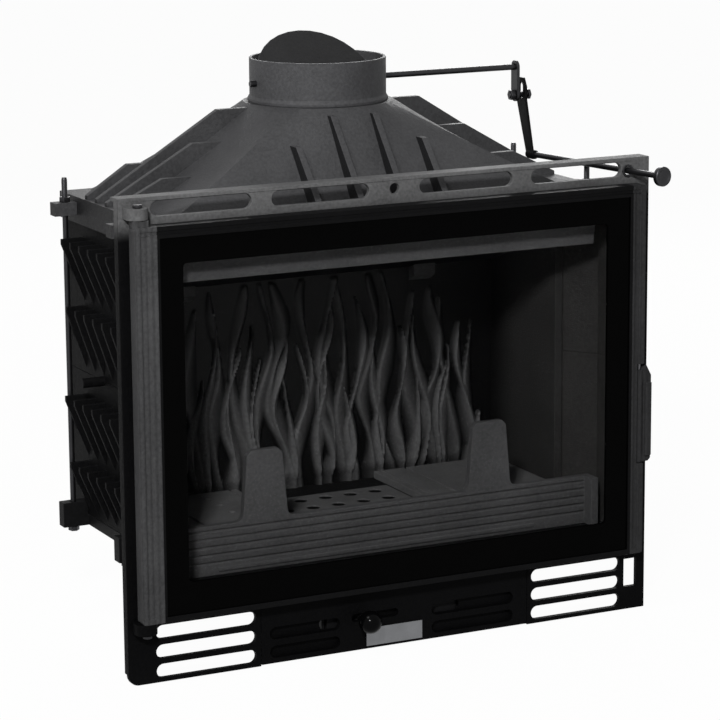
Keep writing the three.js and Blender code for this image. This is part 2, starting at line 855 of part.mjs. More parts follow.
function linkBar() {
  const lift = crankLength * (1 - Math.cos(THREE.MathUtils.degToRad(pullTurn)));
  const slotRadius = crankBoltRadius + linkSlotGap;
  const slotTop = crankHeight + lift;
  const edge = linkHalfWidth - slotRadius;
  const outline = [
    [linkFootDepth - linkFootHalfWidth, pullRodZ - linkBossRadius],
    [linkFootDepth + linkFootHalfWidth, pullRodZ - linkBossRadius],
    [flueDepth + linkHalfWidth, crankHeight - slotRadius],
    [flueDepth + linkHalfWidth, slotTop],
    [flueDepth + slotRadius, slotTop + slotRadius + edge],
    [flueDepth - slotRadius, slotTop + slotRadius + edge],
    [flueDepth - linkHalfWidth, slotTop],
    [flueDepth - linkHalfWidth, crankHeight - slotRadius],
  ];
  const bar = prism(outline, "x", linkLeft, linkLeft + linkThickness);
  const pinSlot = new THREE.Shape()
    .absarc(flueDepth, slotTop, slotRadius, 0, Math.PI)
    .absarc(flueDepth, crankHeight, slotRadius, Math.PI, 2 * Math.PI);
  const reach = (linkFootDepth - plateThickness / 2) / Math.cos(pullTilt);
  const half = linkFootHalfWidth;
  const boss = alongPullRod(prism(circle(0, 0, linkBossRadius), "y", reach - half, reach + half));
  const socket = alongPullRod(prism(circle(0, 0, pullRodRadius + boreGap), "y", 0, reach));
  return cut(
    join(bar, boss),
    prism(pinSlot, "x", linkLeft - past, linkLeft + linkThickness + past),
    socket,
  );
}

function pullRod() {
  const rear = (linkFootDepth - plateThickness / 2) / Math.cos(pullTilt) - seatGap;
  return prism(circle(0, 0, pullRodRadius), "y", -pullRodFront, rear);
}

function pullKnob() {
  const front = pullKnobThickness;
  const profile = [
    [0, 0],
    [pullKnobRadius - pullKnobDish, 0],
    [pullKnobRadius, pullKnobDish],
    [pullKnobRadius, front],
    [pullKnobRadius - pullKnobDish, front],
    [pullKnobRadius / 2, front - pullKnobDish],
    [0, front - pullKnobDish],
  ];
  const geometry = geometryFrom(turned(profile, 0, 0, 24)).rotateX(Math.PI / 2);
  return solidFrom(geometry.translate(0, -pullRodFront - seatGap, 0));
}

function pullRodBush() {
  const collar = prism(circle(pullRodX, pullRodZ, bushRadius), "y", -1, plateThickness);
  const flange = prism(circle(pullRodX, pullRodZ, bushFlangeRadius), "y", -bushFlangeThickness, -seatGap);
  return cut(join(collar, flange), prism(circle(pullRodX, pullRodZ, bushBore), "y", -past, plateThickness + past));
}

// Tie rods and their nuts stand on their own axis
const tieRodLow = slabBottom - seatGap - nutHeight;
const tieRodHigh = hoodShelf - tieLugDrop + tieLugHeight + tieRodStickUp;

function tieRod() {
  return join(
    prism(circle(0, 0, tieRodRadius), "z", tieRodLow, tieRodHigh, 4),
    prism(hexagon(0, 0, nutWidth), "z", tieRodLow, tieRodLow + nutHeight),
  );
}

function tieNut() {
  return ring(hexagon(0, 0, nutWidth), circle(0, 0, tieRodRadius + boreGap), "z", 0, nutHeight);
}

// Lining, floor and grate
function sideLiner() {
  const rear = backLinerFace + backLinerThickness;
  const rearTop = linerRearTop - (rear - backLinerFace) * linerSlope;
  const outline = [
    [linerFront, slabTop + seatGap],
    [rear, slabTop + seatGap],
    [rear, rearTop],
    [linerFront, linerFrontTop],
  ];
  return prism(outline, "x", linerFace, linerFace + linerThickness);
}

// One flame: two S-shaped edges that meet in a tip
function flame(x, base, width, height, lean) {
  const half = width / 2;
  return new THREE.Shape()
    .moveTo(x - half, base)
    .lineTo(x + half, base)
    .bezierCurveTo(x + half * 1.5, base + height * 0.4, x + half * 0.1, base + height * 0.55, x + lean, base + height)
    .bezierCurveTo(x - half * 0.4, base + height * 0.7, x - half * 1.5, base + height * 0.35, x - half, base);
}

function backLiner() {
  const half = linerFace - seatGap;
  const base = slabTop + seatGap;
  const rear = backLinerFace + backLinerThickness;
  const spacerRear = bodyDepth - wallThickness - seatGap;
  const parts = [block([-half, half], [backLinerFace, rear], [base, backLinerTop])];
  for (const side of [-1, 1]) {
    const x = side * spacerOffset;
    parts.push(block([x - spacerWidth / 2, x + spacerWidth / 2], [rear - 1, spacerRear], [base, backLinerTop]));
  }
  const pitch = (2 * half) / (flameCount + 1);
  const foot = floorTop + seatGap;
  for (let i = 0; i < flameCount; i++) {
    const middle = (i - (flameCount - 1) / 2) * pitch;
    const sway = i % 2 ? -1 : 1;
    const tall = flameHeight * (1 - flameSpread + flameSpread * Math.cos(i * flameTurn));
    for (let row = 0; row < flameRows; row++) {
      const share = flameInnerShare ** row;
      const x = middle + (row * pitch) / 2;
      const lean = (row ? -sway : sway) * flameLean * share;
      const face = backLinerFace - (flameRelief * (row + 1)) / flameRows;
      parts.push(prism(flame(x, foot, flameWidth * share, tall * share, lean), "y", face, backLinerFace + 1, 5));
    }
  }
  return join(...parts);
}

function floorPlate(seam, hasHoles) {
  const inner = grateWidth / 2 + seatGap;
  const outer = linerFace - seatGap;
  const low = slabTop + seatGap;
  const depth = [floorFront, backLinerFace - flameRelief - seatGap];
  const plate = block([inner, outer], depth, [low, floorTop]);
  const grooves = [seam, inner + 2 * floorGrooveWidth].map((x) =>
    block([x, x + floorGrooveWidth], [depth[0] - past, depth[1] + past], [floorTop - floorGrooveDepth, floorTop + past]),
  );
  if (!hasHoles) return cut(plate, ...grooves);
  const middle = (depth[0] + depth[1]) / 2;
  const holes = [];
  for (let i = 0; i < floorHoleCount; i++) {
    const y = middle + (i - (floorHoleCount - 1) / 2) * floorHolePitch;
    holes.push(prism(circle(floorHoleX, y, floorHoleRadius), "z", low - past, floorTop + past, 4));
  }
  return cut(plate, ...grooves, ...holes);
}

function grate() {
  const half = grateWidth / 2;
  const top = slabTop;
  const plate = block([-half, half], [grateFront, grateRear], [top - grateThickness, top]);
  const holes = [];
  const middle = (grateFront + grateRear) / 2;
  for (let column = 0; column < grateColumns; column++) {
    for (let row = 0; row < grateRows; row++) {
      const x = (column - (grateColumns - 1) / 2) * grateHolePitchX;
      const y = middle + (row - (grateRows - 1) / 2) * grateHolePitchY;
      holes.push(prism(circle(x, y, grateHoleRadius), "z", top - grateThickness - past, top + past, 5));
    }
  }
  return cut(plate, ...holes);
}

// Log guard: a grooved rail across the front with two horns
function logGuard() {
  const half = guardWidth / 2;
  const rear = riserFront - seatGap;
  const front = rear - guardThickness;
  const low = shelfTop + seatGap;
  const top = low + guardHeight;
  const parts = [
    block([-half, half], [front, rear], [low, top]),
    block(
      [-guardBeadWidth / 2, guardBeadWidth / 2],
      [front - guardBeadDepth, rear],
      [low + guardBeadHeight, low + 2 * guardBeadHeight],
    ),
  ];
  for (const side of [-1, 1]) {
    const ends = [side * half, side * (half - guardReturnThickness)].sort((a, b) => a - b);
    parts.push(block(ends, [rear - guardReturnDepth, rear], [low, top]));
    parts.push(prism(horn(side * hornOffset, top), "y", front, rear));
  }
  const grooves = [];
  for (let i = 0; i < guardGrooves; i++) {
    const z = low + 3 * guardBeadHeight + i * guardGroovePitch;
    const inside = half - guardReturnThickness;
    grooves.push(block([-inside, inside], [front - past, front + guardGrooveDepth], [z, z + guardGrooveWidth]));
  }
  return cut(join(...parts), ...grooves);
}

function horn(x, base) {
  const high = base + hornHeight;
  const corner = hornTopHalfWidth / 4;
  return new THREE.Shape()
    .moveTo(x - hornBaseHalfWidth - hornFillet, base - 1)
    .lineTo(x + hornBaseHalfWidth + hornFillet, base - 1)
    .lineTo(x + hornBaseHalfWidth + hornFillet, base)
    .quadraticCurveTo(x + hornBaseHalfWidth, base, x + hornBaseHalfWidth, base + hornFillet)
    .lineTo(x + hornTopHalfWidth, high - corner)
    .lineTo(x + hornTopHalfWidth - corner, high)
    .lineTo(x - hornTopHalfWidth + corner, high)
    .lineTo(x - hornTopHalfWidth, high - corner)
    .lineTo(x - hornBaseHalfWidth, base + hornFillet)
    .quadraticCurveTo(x - hornBaseHalfWidth, base, x - hornBaseHalfWidth - hornFillet, base);
}

function frontBaffle() {
  const half = baffleWidth / 2;
  const outline = [
    [-half, baffleBottom],
    [half, baffleBottom],
    [half + baffleEndSlant, baffleTop],
    [-half - baffleEndSlant, baffleTop],
  ];
  return prism(outline, "y", bodyFront, hoodFront - seatGap);
}

// The deflector lies on the sloping tops of the side liners and on two pegs
function deflectorLine(y) {
  return linerRearTop + (backLinerFace - y) * linerSlope + seatGap;
}

function deflector() {
  const rear = backLinerFace - seatGap;
  const half = bodyHalf - wallThickness - runGap;
  const outline = [
    [deflectorFront, deflectorLine(deflectorFront)],
    [rear, deflectorLine(rear)],
    [rear, deflectorLine(rear) + deflectorThickness],
    [deflectorFront, deflectorLine(deflectorFront) + deflectorThickness],
  ];
  return prism(outline, "x", -half, half);
}

function deflectorPeg() {
  const rear = backLinerFace - seatGap;
  const front = rear - pegDepth;
  const low = linerRearTop - pegHeight;
  const outline = [
    [front, low + pegHeight / 2],
    [rear, low],
    [rear, deflectorLine(rear) - seatGap],
    [front, deflectorLine(front) - seatGap],
  ];
  return prism(outline, "x", pegOffset - pegWidth / 2, pegOffset + pegWidth / 2);
}

// Door: a frame with a front lip, glass, and an inner frame that clamps the glass
const glassBox = {
  left: doorLeft + lipLeft - glassHold,
  right: doorRight - lipRight + glassHold,
  bottom: doorBottom + lipBottom - glassHold,
  top: doorTop - lipTop + glassHold,
};

function doorOutline(inset, radius) {
  return roundedBox(doorLeft + inset, doorRight - inset, doorBottom + inset, doorTop - inset, radius);
}

function glassOutline(grow) {
  return polygon([
    [glassBox.left - grow, glassBox.bottom - grow],
    [glassBox.right + grow, glassBox.bottom - grow],
    [glassBox.right + grow, glassBox.top + grow],
    [glassBox.left - grow, glassBox.top + grow],
  ]);
}

function latchRecess() {
  const left = latchPinX - knuckleRadius - runGap;
  const rear = -latchPinDepth + knuckleRadius + runGap;
  const height = [leverBottom - runGap, leverTop + runGap];
  return block([left, doorRight + past], [doorFront - past, rear], height);
}

function latchPinBore(radius, margin) {
  const ends = [leverBottom - latchPinGrip - margin, leverTop + latchPinGrip + margin];
  return prism(circle(latchPinX, -latchPinDepth, radius), "z", ...ends, 4);
}

function doorFrame() {
  const lugEnd = hingeX + (bracketWidth - ridgeWidth) / 2 + lugMargin;
  const lug = prism(
    roundedBox(doorLeft, lugEnd, doorFront + doorBackChamfer, doorBack - lugMargin, doorBackChamfer),
    "z",
    doorTop - 1,
    doorTop + hingeLugThickness,
  );
  const pocketFront = doorFront + doorLipThickness;
  const chamfer = [
    [doorLeft - past, doorBack + past],
    [doorLeft - past, doorBack - doorBackChamfer - past],
    [doorLeft + doorBackChamfer + past, doorBack + past],
  ];
  const across = [doorBottom + lipBottom, doorTop - lipTop + ridgeWidth / 2];
  const groove = [doorFront - past, doorFront + grooveDepth];
  const pinBore = circle(hingeX, -hingeDepth, hingePinRadius + boreGap);
  const grooveLeft = doorLeft + ridgeWidth;
  const grooveRight = doorRight - ridgeWidth;
  const grooveTop = doorTop - ridgeWidth - lugMargin;
  return cut(
    join(prism(doorOutline(0, doorCornerRadius), "y", doorFront, doorBack), lug),
    prism(glassOutline(-glassHold), "y", doorFront - past, doorBack + past),
    prism(glassOutline(0.5), "y", pocketFront, doorBack + past),
    prism(chamfer, "z", doorBottom - past, doorTop + hingeLugThickness + past),
    block([grooveLeft, grooveLeft + grooveWidth], groove, across),
    block([grooveRight - ridgeWidth, grooveRight], groove, across),
    block([grooveLeft, grooveRight], groove, [grooveTop, grooveTop + ridgeWidth / 2]),
    prism(pinBore, "z", doorTop - hingePinGrip, doorTop + hingeLugThickness + past),
    prism(pinBore, "z", doorBottom - past, doorBottom + hingePinGrip + lugMargin),
    latchRecess(),
    latchPinBore(latchPinRadius + boreGap, boreGap),
  );
}

function doorGlass() {
  return prism(glassOutline(0), "y", glassFront, glassBack);
}

function glassSeal() {
  const front = glassBack + seatGap;
  return ring(glassOutline(-sealInset), glassOutline(-sealInset - sealWidth), "y", front, front + glassSealThickness);
}

function innerDoorFrame() {
  const front = glassBack + 2 * seatGap + glassSealThickness;
  return ring(glassOutline(0), glassOutline(-innerFrameWidth), "y", front, doorBack);
}

function doorSeal() {
  return ring(glassOutline(-sealInset), glassOutline(-sealInset - sealWidth), "y", doorBack + seatGap, -seatGap);
}

function latchLever() {
  const right = latchPinX + leverReach;
  const pointX = right - leverReach / 2;
  const front = -latchPinDepth - leverThickness / 2;
  const rear = -latchPinDepth + leverThickness / 2;
  const outline = [
    [latchPinX, leverBottom],
    [right - leverCorner, leverBottom],
    [right, leverBottom + leverCorner],
    [right, leverTop - leverPointHeight],
    [pointX, leverTop],
    [latchPinX, leverTop - leverPointHeight / 2],
  ];
  const barLeft = right - leverBarWidth - leverBarInset;
  const bar = block(
    [barLeft, barLeft + leverBarWidth],
    [front - leverBarDepth, front + 1],
    [leverBottom + leverBarMargin, leverTop - leverPointHeight - leverBarMargin],
  );
  const nose = block(
    [barLeft + 1, right - leverBarInset],
    [rear - 1, -keeperDepth - 2 * seatGap],
    [leverBottom + keeperHeight / 2, leverBottom + keeperHeight],
  );
  const knuckle = prism(circle(latchPinX, -latchPinDepth, knuckleRadius), "z", leverBottom, leverTop - leverPointHeight / 2);
  return cut(
    join(prism(outline, "y", front, rear), bar, nose, knuckle),
    latchPinBore(latchPinRadius + boreGap, past),
  );
}

function latchKeeper() {
  const right = latchPinX + leverReach;
  const bottom = leverBottom + keeperHeight / 3;
  return block([right - keeperWidth - 1, right - 1], [-keeperDepth, -seatGap], [bottom, bottom + keeperHeight]);
}

// Ash box, and the drawer that slides out of it
function ashBox() {
  const half = ashBoxWidth / 2;
  const neckFront = riserFront + riserThickness + seatGap;
  const step = shelfBottom - seatGap;
  const top = slabBottom - seatGap;
  const outside = [
    [ashBoxFront, 0],
    [ashBoxRear, 0],
    [ashBoxRear, top],
    [neckFront, top],
    [neckFront, step],
    [ashBoxFront, step],
  ];
  const inside = [
    [ashBoxFront - past, ashBoxWall],
    [ashBoxRear - ashBoxWall, ashBoxWall],
    [ashBoxRear - ashBoxWall, top + past],
    [neckFront + ashBoxWall, top + past],
    [neckFront + ashBoxWall, step - ashBoxWall],
    [ashBoxFront - past, step - ashBoxWall],
  ];
  return cut(prism(outside, "x", -half, half), prism(inside, "x", -half + ashBoxWall, half - ashBoxWall));
}

function ashPan() {
  const half = ashBoxWidth / 2 - ashBoxWall - panSideGap;
  const rear = ashBoxRear - ashBoxWall - panRearGap;
  const low = ashBoxWall + seatGap;
  return cut(
    block([-half, half], [panFront, rear], [low, low + panHeight]),
    block([-half + panWall, half - panWall], [panFront + panWall, rear - panWall], [low + panWall, low + panHeight + past]),
  );
}

function drawerFront() {
  const half = drawerWidth / 2;
  const through = [-past, plateThickness + past];
  const slots = [];
  for (const low of [drawerLowerSlotBottom, drawerUpperSlotBottom]) {
    const high = low + drawerSlotHeight;
    const left = slot(drawerLeftSlotInner - drawerLeftSlotLength, drawerLeftSlotInner, low, high);
    const right = slot(drawerRightSlotInner, drawerRightSlotInner + drawerRightSlotLength, low, high);
    slots.push(prism(left, "y", ...through), prism(right, "y", ...through));
  }
  const controlHigh = controlSlotBottom + controlSlotHeight;
  const control = slot(controlSlotLeft, controlSlotLeft + controlSlotLength, controlSlotBottom, controlHigh);
  const lugLow = drawerUpperSlotBottom + drawerSlotHeight + 2 * shutterMargin + runGap;
  const lugs = [-1, 1].map((side) => {
    const x = side * drawerLugOffset;
    return block(
      [x - drawerLugWidth / 2, x + drawerLugWidth / 2],
      [plateThickness - 1, panFront - seatGap],
      [lugLow, ashBoxWall + panHeight],
    );
  });
  const sheet = block([-half, half], [0, plateThickness], [drawerBottom, drawerTop]);
  return cut(join(sheet, ...lugs), ...slots, prism(control, "y", ...through));
}

function airShutter() {
  const front = plateThickness + seatGap;
  const low = drawerLowerSlotBottom - shutterMargin;
  const high = drawerUpperSlotBottom + drawerSlotHeight + shutterMargin;
  const sheet = block([shutterLeft, shutterRight], [front, front + shutterThickness], [low, high]);
  const holes = [shutterLeftHole, shutterRightHole].map((x) => {
    const outline = slot(x, x + shutterHoleLength, drawerUpperSlotBottom, drawerUpperSlotBottom + drawerSlotHeight);
    return prism(outline, "y", 0, front + shutterThickness + past);
  });
  return cut(sheet, ...holes);
}

function shutterStem() {
  const front = -shutterKnobReach + shutterKnobFlat + seatGap;
  return prism(circle(shutterStemX, shutterStemZ, shutterStemRadius), "y", front, plateThickness);
}

function shutterKnob() {
  const ball = new THREE.SphereGeometry(shutterKnobRadius, 24, 14);
  ball.rotateX(Math.PI / 2).translate(shutterStemX, -shutterKnobReach, shutterStemZ);
  const flat = -shutterKnobReach + shutterKnobFlat;
  const behind = block(
    [shutterStemX - 2 * shutterKnobRadius, shutterStemX + 2 * shutterKnobRadius],
    [flat, flat + shutterKnobRadius],
    [shutterStemZ - 2 * shutterKnobRadius, shutterStemZ + 2 * shutterKnobRadius],
  );
  return cut(solidFrom(ball), behind);
}

function blankPlate() {
  const half = blankPlateWidth / 2;
  const depth = [-seatGap - blankPlateThickness, -seatGap];
  const height = [blankPlateBottom, blankPlateBottom + blankPlateHeight];
  return block([blankPlateX - half, blankPlateX + half], depth, height);
}

// The insert: what stands still, then each moving body at its pivot
const group = new THREE.Group();
group.name = "fireplace_insert";

piece(group, "front_plate", castIron, frontPlate());
piece(group, "hinge_bracket_upper", castIron, hingeBracket(doorTop + hingeLugThickness + seatGap));
piece(group, "hinge_bracket_lower", castIron, hingeBracket(doorBottom - seatGap - bracketHeight));
const upperPinHead = doorTop + hingeLugThickness + bracketHeight + 2 * seatGap;
const lowerPinHead = doorBottom - bracketHeight - 2 * seatGap - pinHeadHeight;
piece(
  group,
  "hinge_pin_upper",
  steel,
  hingePin(doorTop - hingePinGrip + seatGap, upperPinHead + 1, upperPinHead),
);
piece(group, "hinge_pin_lower", steel, hingePin(lowerPinHead, doorBottom + hingePinGrip, lowerPinHead));
piece(group, "latch_keeper", castIron, latchKeeper());
piece(group, "pull_rod_bush", steel, pullRodBush());

piece(group, "base_casting", castIron, baseCasting());
const upperWall = sideWall(wallSplit, wallTop, 0, true);
const lowerWall = sideWall(slabTop + seatGap, wallSplit - seatGap, finModulePitch, false);
piece(group, "wall_right_upper", castIron, upperWall);
piece(group, "wall_right_lower", castIron, lowerWall);
piece(group, "wall_left_upper", castIron, mirroredX(upperWall));
piece(group, "wall_left_lower", castIron, mirroredX(lowerWall));
piece(group, "back_wall", castIron, backWall());
piece(group, "hood", castIron, hood());
piece(group, "flue_collar", castIron, flueCollar());
for (const [x, y, name] of tieRodPlaces) {
  piece(group, "tie_rod_" + name, steel, tieRod()).position.set(x, y, 0);
  const nut = piece(group, "tie_nut_" + name, steel, tieNut());
  nut.position.set(x, y, hoodShelf - tieLugDrop + tieLugHeight + seatGap);
}

const liner = sideLiner();
piece(group, "liner_right", castIron, liner);
piece(group, "liner_left", castIron, mirroredX(liner));
piece(group, "back_liner", castIron, backLiner());
piece(group, "floor_plate_right", castIron, floorPlate(floorSeamRight, false));
piece(group, "floor_plate_left", castIron, mirroredX(floorPlate(floorSeamLeft, true)));
piece(group, "front_baffle", castIron, frontBaffle());
piece(group, "deflector", castIron, deflector());
const peg = deflectorPeg();
piece(group, "deflector_peg_right", castIron, peg);
piece(group, "deflector_peg_left", castIron, mirroredX(peg));
piece(group, "ash_box", castIron, ashBox());

const liftedGrate = bodyAt(group, 0, (grateFront + grateRear) / 2, slabTop);
piece(liftedGrate, "grate", castIron, grate());
const liftedGuard = bodyAt(group, 0, riserFront, shelfTop);
piece(liftedGuard, "log_guard", castIron, logGuard());

const door = bodyAt(group, hingeX, -hingeDepth, doorBottom);
piece(door, "door_frame", enamel, doorFrame());
piece(door, "door_glass", glass, doorGlass());
piece(door, "glass_seal", rope, glassSeal());
piece(door, "inner_door_frame", castIron, innerDoorFrame());
piece(door, "door_seal", rope, doorSeal());
piece(door, "latch_pin", steel, latchPinBore(latchPinRadius, 0));
const latch = bodyAt(door, latchPinX, -latchPinDepth, leverBottom);
piece(latch, "latch_lever", enamel, latchLever());

const damper = bodyAt(group, 0, flueDepth, shaftHeight);
piece(damper, "damper_disc", castIron, damperDisc());
piece(damper, "damper_shaft", steel, damperShaft());
piece(damper, "crank_arm", steel, crankArm());
piece(damper, "crank_bolt", steel, crankBolt());
piece(damper, "crank_nut", steel, crankNut());

const damperPull = bodyAt(group, pullRodX, plateThickness / 2, pullRodZ);
piece(damperPull, "link_bar", castIron, linkBar());
const rodLine = new THREE.Group();
rodLine.rotation.z = pullTilt;
damperPull.add(rodLine);
piece(rodLine, "pull_rod", steel, pullRod());
piece(rodLine, "pull_knob", knobBlack, pullKnob());

const ashDrawer = bodyAt(group, 0, 0, drawerBottom);
piece(ashDrawer, "drawer_front", castIron, drawerFront());
piece(ashDrawer, "ash_pan", castIron, ashPan());
piece(ashDrawer, "blank_plate", nickel, blankPlate());
const shutter = bodyAt(ashDrawer, shutterStemX, plateThickness, shutterStemZ);
piece(shutter, "air_shutter", castIron, airShutter());
piece(shutter, "shutter_stem", steel, shutterStem());
piece(shutter, "shutter_knob", knobBlack, shutterKnob());

// The part's origin is the middle of the ash box's underside
const insert = new THREE.Group();
group.position.y = -(ashBoxFront + ashBoxRear) / 2;
insert.add(group);

export default insert;
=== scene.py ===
import json
import math
import random

import bmesh
import bpy
import numpy as np
from mathutils import Matrix, Vector


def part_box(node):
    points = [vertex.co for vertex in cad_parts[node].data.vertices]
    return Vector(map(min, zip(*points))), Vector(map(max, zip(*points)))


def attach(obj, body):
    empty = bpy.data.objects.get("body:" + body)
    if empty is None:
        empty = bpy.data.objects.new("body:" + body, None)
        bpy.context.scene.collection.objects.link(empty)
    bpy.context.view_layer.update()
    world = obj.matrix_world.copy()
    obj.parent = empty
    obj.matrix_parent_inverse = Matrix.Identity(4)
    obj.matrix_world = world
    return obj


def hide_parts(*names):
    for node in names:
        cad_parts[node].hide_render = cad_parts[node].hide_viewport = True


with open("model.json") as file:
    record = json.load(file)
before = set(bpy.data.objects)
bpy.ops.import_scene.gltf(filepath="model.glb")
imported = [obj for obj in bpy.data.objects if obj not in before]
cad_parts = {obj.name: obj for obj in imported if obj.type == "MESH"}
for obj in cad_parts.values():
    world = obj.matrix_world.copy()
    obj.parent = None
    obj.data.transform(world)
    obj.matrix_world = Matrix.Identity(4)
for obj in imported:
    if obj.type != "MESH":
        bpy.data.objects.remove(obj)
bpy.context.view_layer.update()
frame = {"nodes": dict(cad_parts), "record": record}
NODES = frame["nodes"]
RECORD = frame["record"]
BODY = {node: body for body, nodes in RECORD["behaviour"]["bodies"].items() for node in nodes}
SLOT = {part["node"]: part["material_slot"] for part in RECORD["subparts"]}
MM = 0.001
SET_BACK = 131.5  # mm from the front plate's front face back to the origin
FLUTE_PITCH = 0.0075  # metres between the flutes on the door frame's sides
dice = random.Random(7)


def at(x, y, z):
    """A point given in millimetres from the bottom centre of the front plate's front face."""
    return Vector((x, y - SET_BACK, z)) * MM


# Materials ------------------------------------------------------------------

NOISE_LOW, NOISE_HIGH = 0.3, 0.7  # most values of a noise texture lie between these
FINE_GRAIN, COARSE_GRAIN, PATCHES = 1100, 260, 9  # noise scales of the cast surface
FINE_HEIGHT, COARSE_HEIGHT, FLUTE_HEIGHT = 0.0005, 0.0008, 0.0012  # metres of bump
COARSE_SHARE = 0.6  # of the fine grain's strength
TONE_SPREAD = 0.3  # how far the cast tone wanders to each side of its colour
CAST_ROUGHNESS_SPREAD = 0.06
STILE_LEFT, STILE_RIGHT = -0.3345, 0.3365  # metres; the door frame's sides begin outside these
RIGHT_STILE_SHARE = 0.5  # the right side is less lit than the left one


def new_material(name):
    material = bpy.data.materials.new(name)
    material.use_nodes = True
    tree = material.node_tree
    shader = tree.nodes["Principled BSDF"]
    return material, tree, shader


def add_noise(tree, scale, detail, roughness=0.5):
    place = tree.nodes.new("ShaderNodeTexCoord")
    noise = tree.nodes.new("ShaderNodeTexNoise")
    noise.inputs["Scale"].default_value = scale
    noise.inputs["Detail"].default_value = detail
    noise.inputs["Roughness"].default_value = roughness
    tree.links.new(place.outputs["Object"], noise.inputs["Vector"])
    return noise


def add_range(tree, source, low, high):
    """A noise stretched from low to high."""
    spread = tree.nodes.new("ShaderNodeMapRange")
    spread.inputs["From Min"].default_value = NOISE_LOW
    spread.inputs["From Max"].default_value = NOISE_HIGH
    spread.inputs["To Min"].default_value = low
    spread.inputs["To Max"].default_value = high
    tree.links.new(source, spread.inputs["Value"])
    return spread.outputs["Result"]


def add_ramp(tree, source, low, high, spread=0.4):
    """From the low colour to the high one, over a spread of values around a half."""
    ramp = tree.nodes.new("ShaderNodeValToRGB")
    ramp.color_ramp.elements[0].position = 0.5 - spread / 2
    ramp.color_ramp.elements[1].position = 0.5 + spread / 2
    ramp.color_ramp.elements[0].color = (*low, 1)
    ramp.color_ramp.elements[1].color = (*high, 1)
    tree.links.new(source, ramp.inputs["Fac"])
    return ramp.outputs["Color"]


def add_bump(tree, shader, heights):
    """Each height is (source, strength, distance in metres); they are chained."""
    normal = None
    for source, strength, distance in heights:
        bump = tree.nodes.new("ShaderNodeBump")
        bump.inputs["Strength"].default_value = strength
        bump.inputs["Distance"].default_value = distance
        tree.links.new(source, bump.inputs["Height"])
        if normal is not None:
            tree.links.new(normal, bump.inputs["Normal"])
        normal = bump.outputs["Normal"]
    tree.links.new(normal, shader.inputs["Normal"])


def add_math(tree, operation, first, second=None):
    """A math node; each input is a socket or a plain number."""
    node = tree.nodes.new("ShaderNodeMath")
    node.operation = operation
    for source, socket in zip((first, second), node.inputs):
        if isinstance(source, (int, float)):
            socket.default_value = source
        elif source is not None:
            tree.links.new(source, socket)
    return node.outputs["Value"]


def add_axis(tree, vector, axis):
    split = tree.nodes.new("ShaderNodeSeparateXYZ")
    tree.links.new(vector, split.inputs["Vector"])
    return split.outputs[axis]


def add_tint(tree, share, plain, colour):
    """The plain colour where share is 0, and the other where it is 1."""
    mix = tree.nodes.new("ShaderNodeMix")
    mix.data_type = "RGBA"
    tree.links.new(share, mix.inputs["Factor"])
    tree.links.new(plain, mix.inputs["A"])
    tree.links.new(colour, mix.inputs["B"])
    return mix.outputs["Result"]


def share_along(tree, axis, start, end):
    """0 before start and 1 after end, both in metres along an axis of the object."""
    place = tree.nodes.new("ShaderNodeTexCoord")
    spread = tree.nodes.new("ShaderNodeMapRange")
    spread.interpolation_type = "SMOOTHSTEP"
    spread.inputs["From Min"].default_value = start
    spread.inputs["From Max"].default_value = end
    tree.links.new(add_axis(tree, place.outputs["Object"], axis), spread.inputs["Value"])
    return spread.outputs["Result"]


def share_inwards(tree):
    """1 on the faces that look towards the middle of the firebox."""
    place = tree.nodes.new("ShaderNodeTexCoord")
    across = add_axis(tree, place.outputs["Object"], "X")
    facing = add_axis(tree, place.outputs["Normal"], "X")
    return add_math(tree, "LESS_THAN", add_math(tree, "MULTIPLY", across, facing), -0.01)


def share_shaded_sideways(tree):
    """1 on the upright faces that look left or right, such as the sides of the front ribs; there the second
    tone is painted shade.
    """
    place = tree.nodes.new("ShaderNodeTexCoord")
    across = add_axis(tree, place.outputs["Normal"], "X")
    return add_math(tree, "GREATER_THAN", add_math(tree, "MULTIPLY", across, across), 0.8)


def share_lit_stiles(tree):
    """1 on the door frame's left side, less on its right side and 0 on its rails; there the second tone is
    a painted highlight.
    """
    place = tree.nodes.new("ShaderNodeTexCoord")
    across = add_axis(tree, place.outputs["Object"], "X")
    left = add_math(tree, "LESS_THAN", across, STILE_LEFT)
    right = add_math(tree, "GREATER_THAN", across, STILE_RIGHT)
    return add_math(tree, "ADD", left, add_math(tree, "MULTIPLY", right, RIGHT_STILE_SHARE))


def patchy_tone(tree, patches, colour):
    """The colour, a little darker or lighter from patch to patch."""
    low = [c * (1 - TONE_SPREAD) for c in colour]
    high = [c * (1 + TONE_SPREAD) for c in colour]
    return add_ramp(tree, patches, low, high, 0.3)


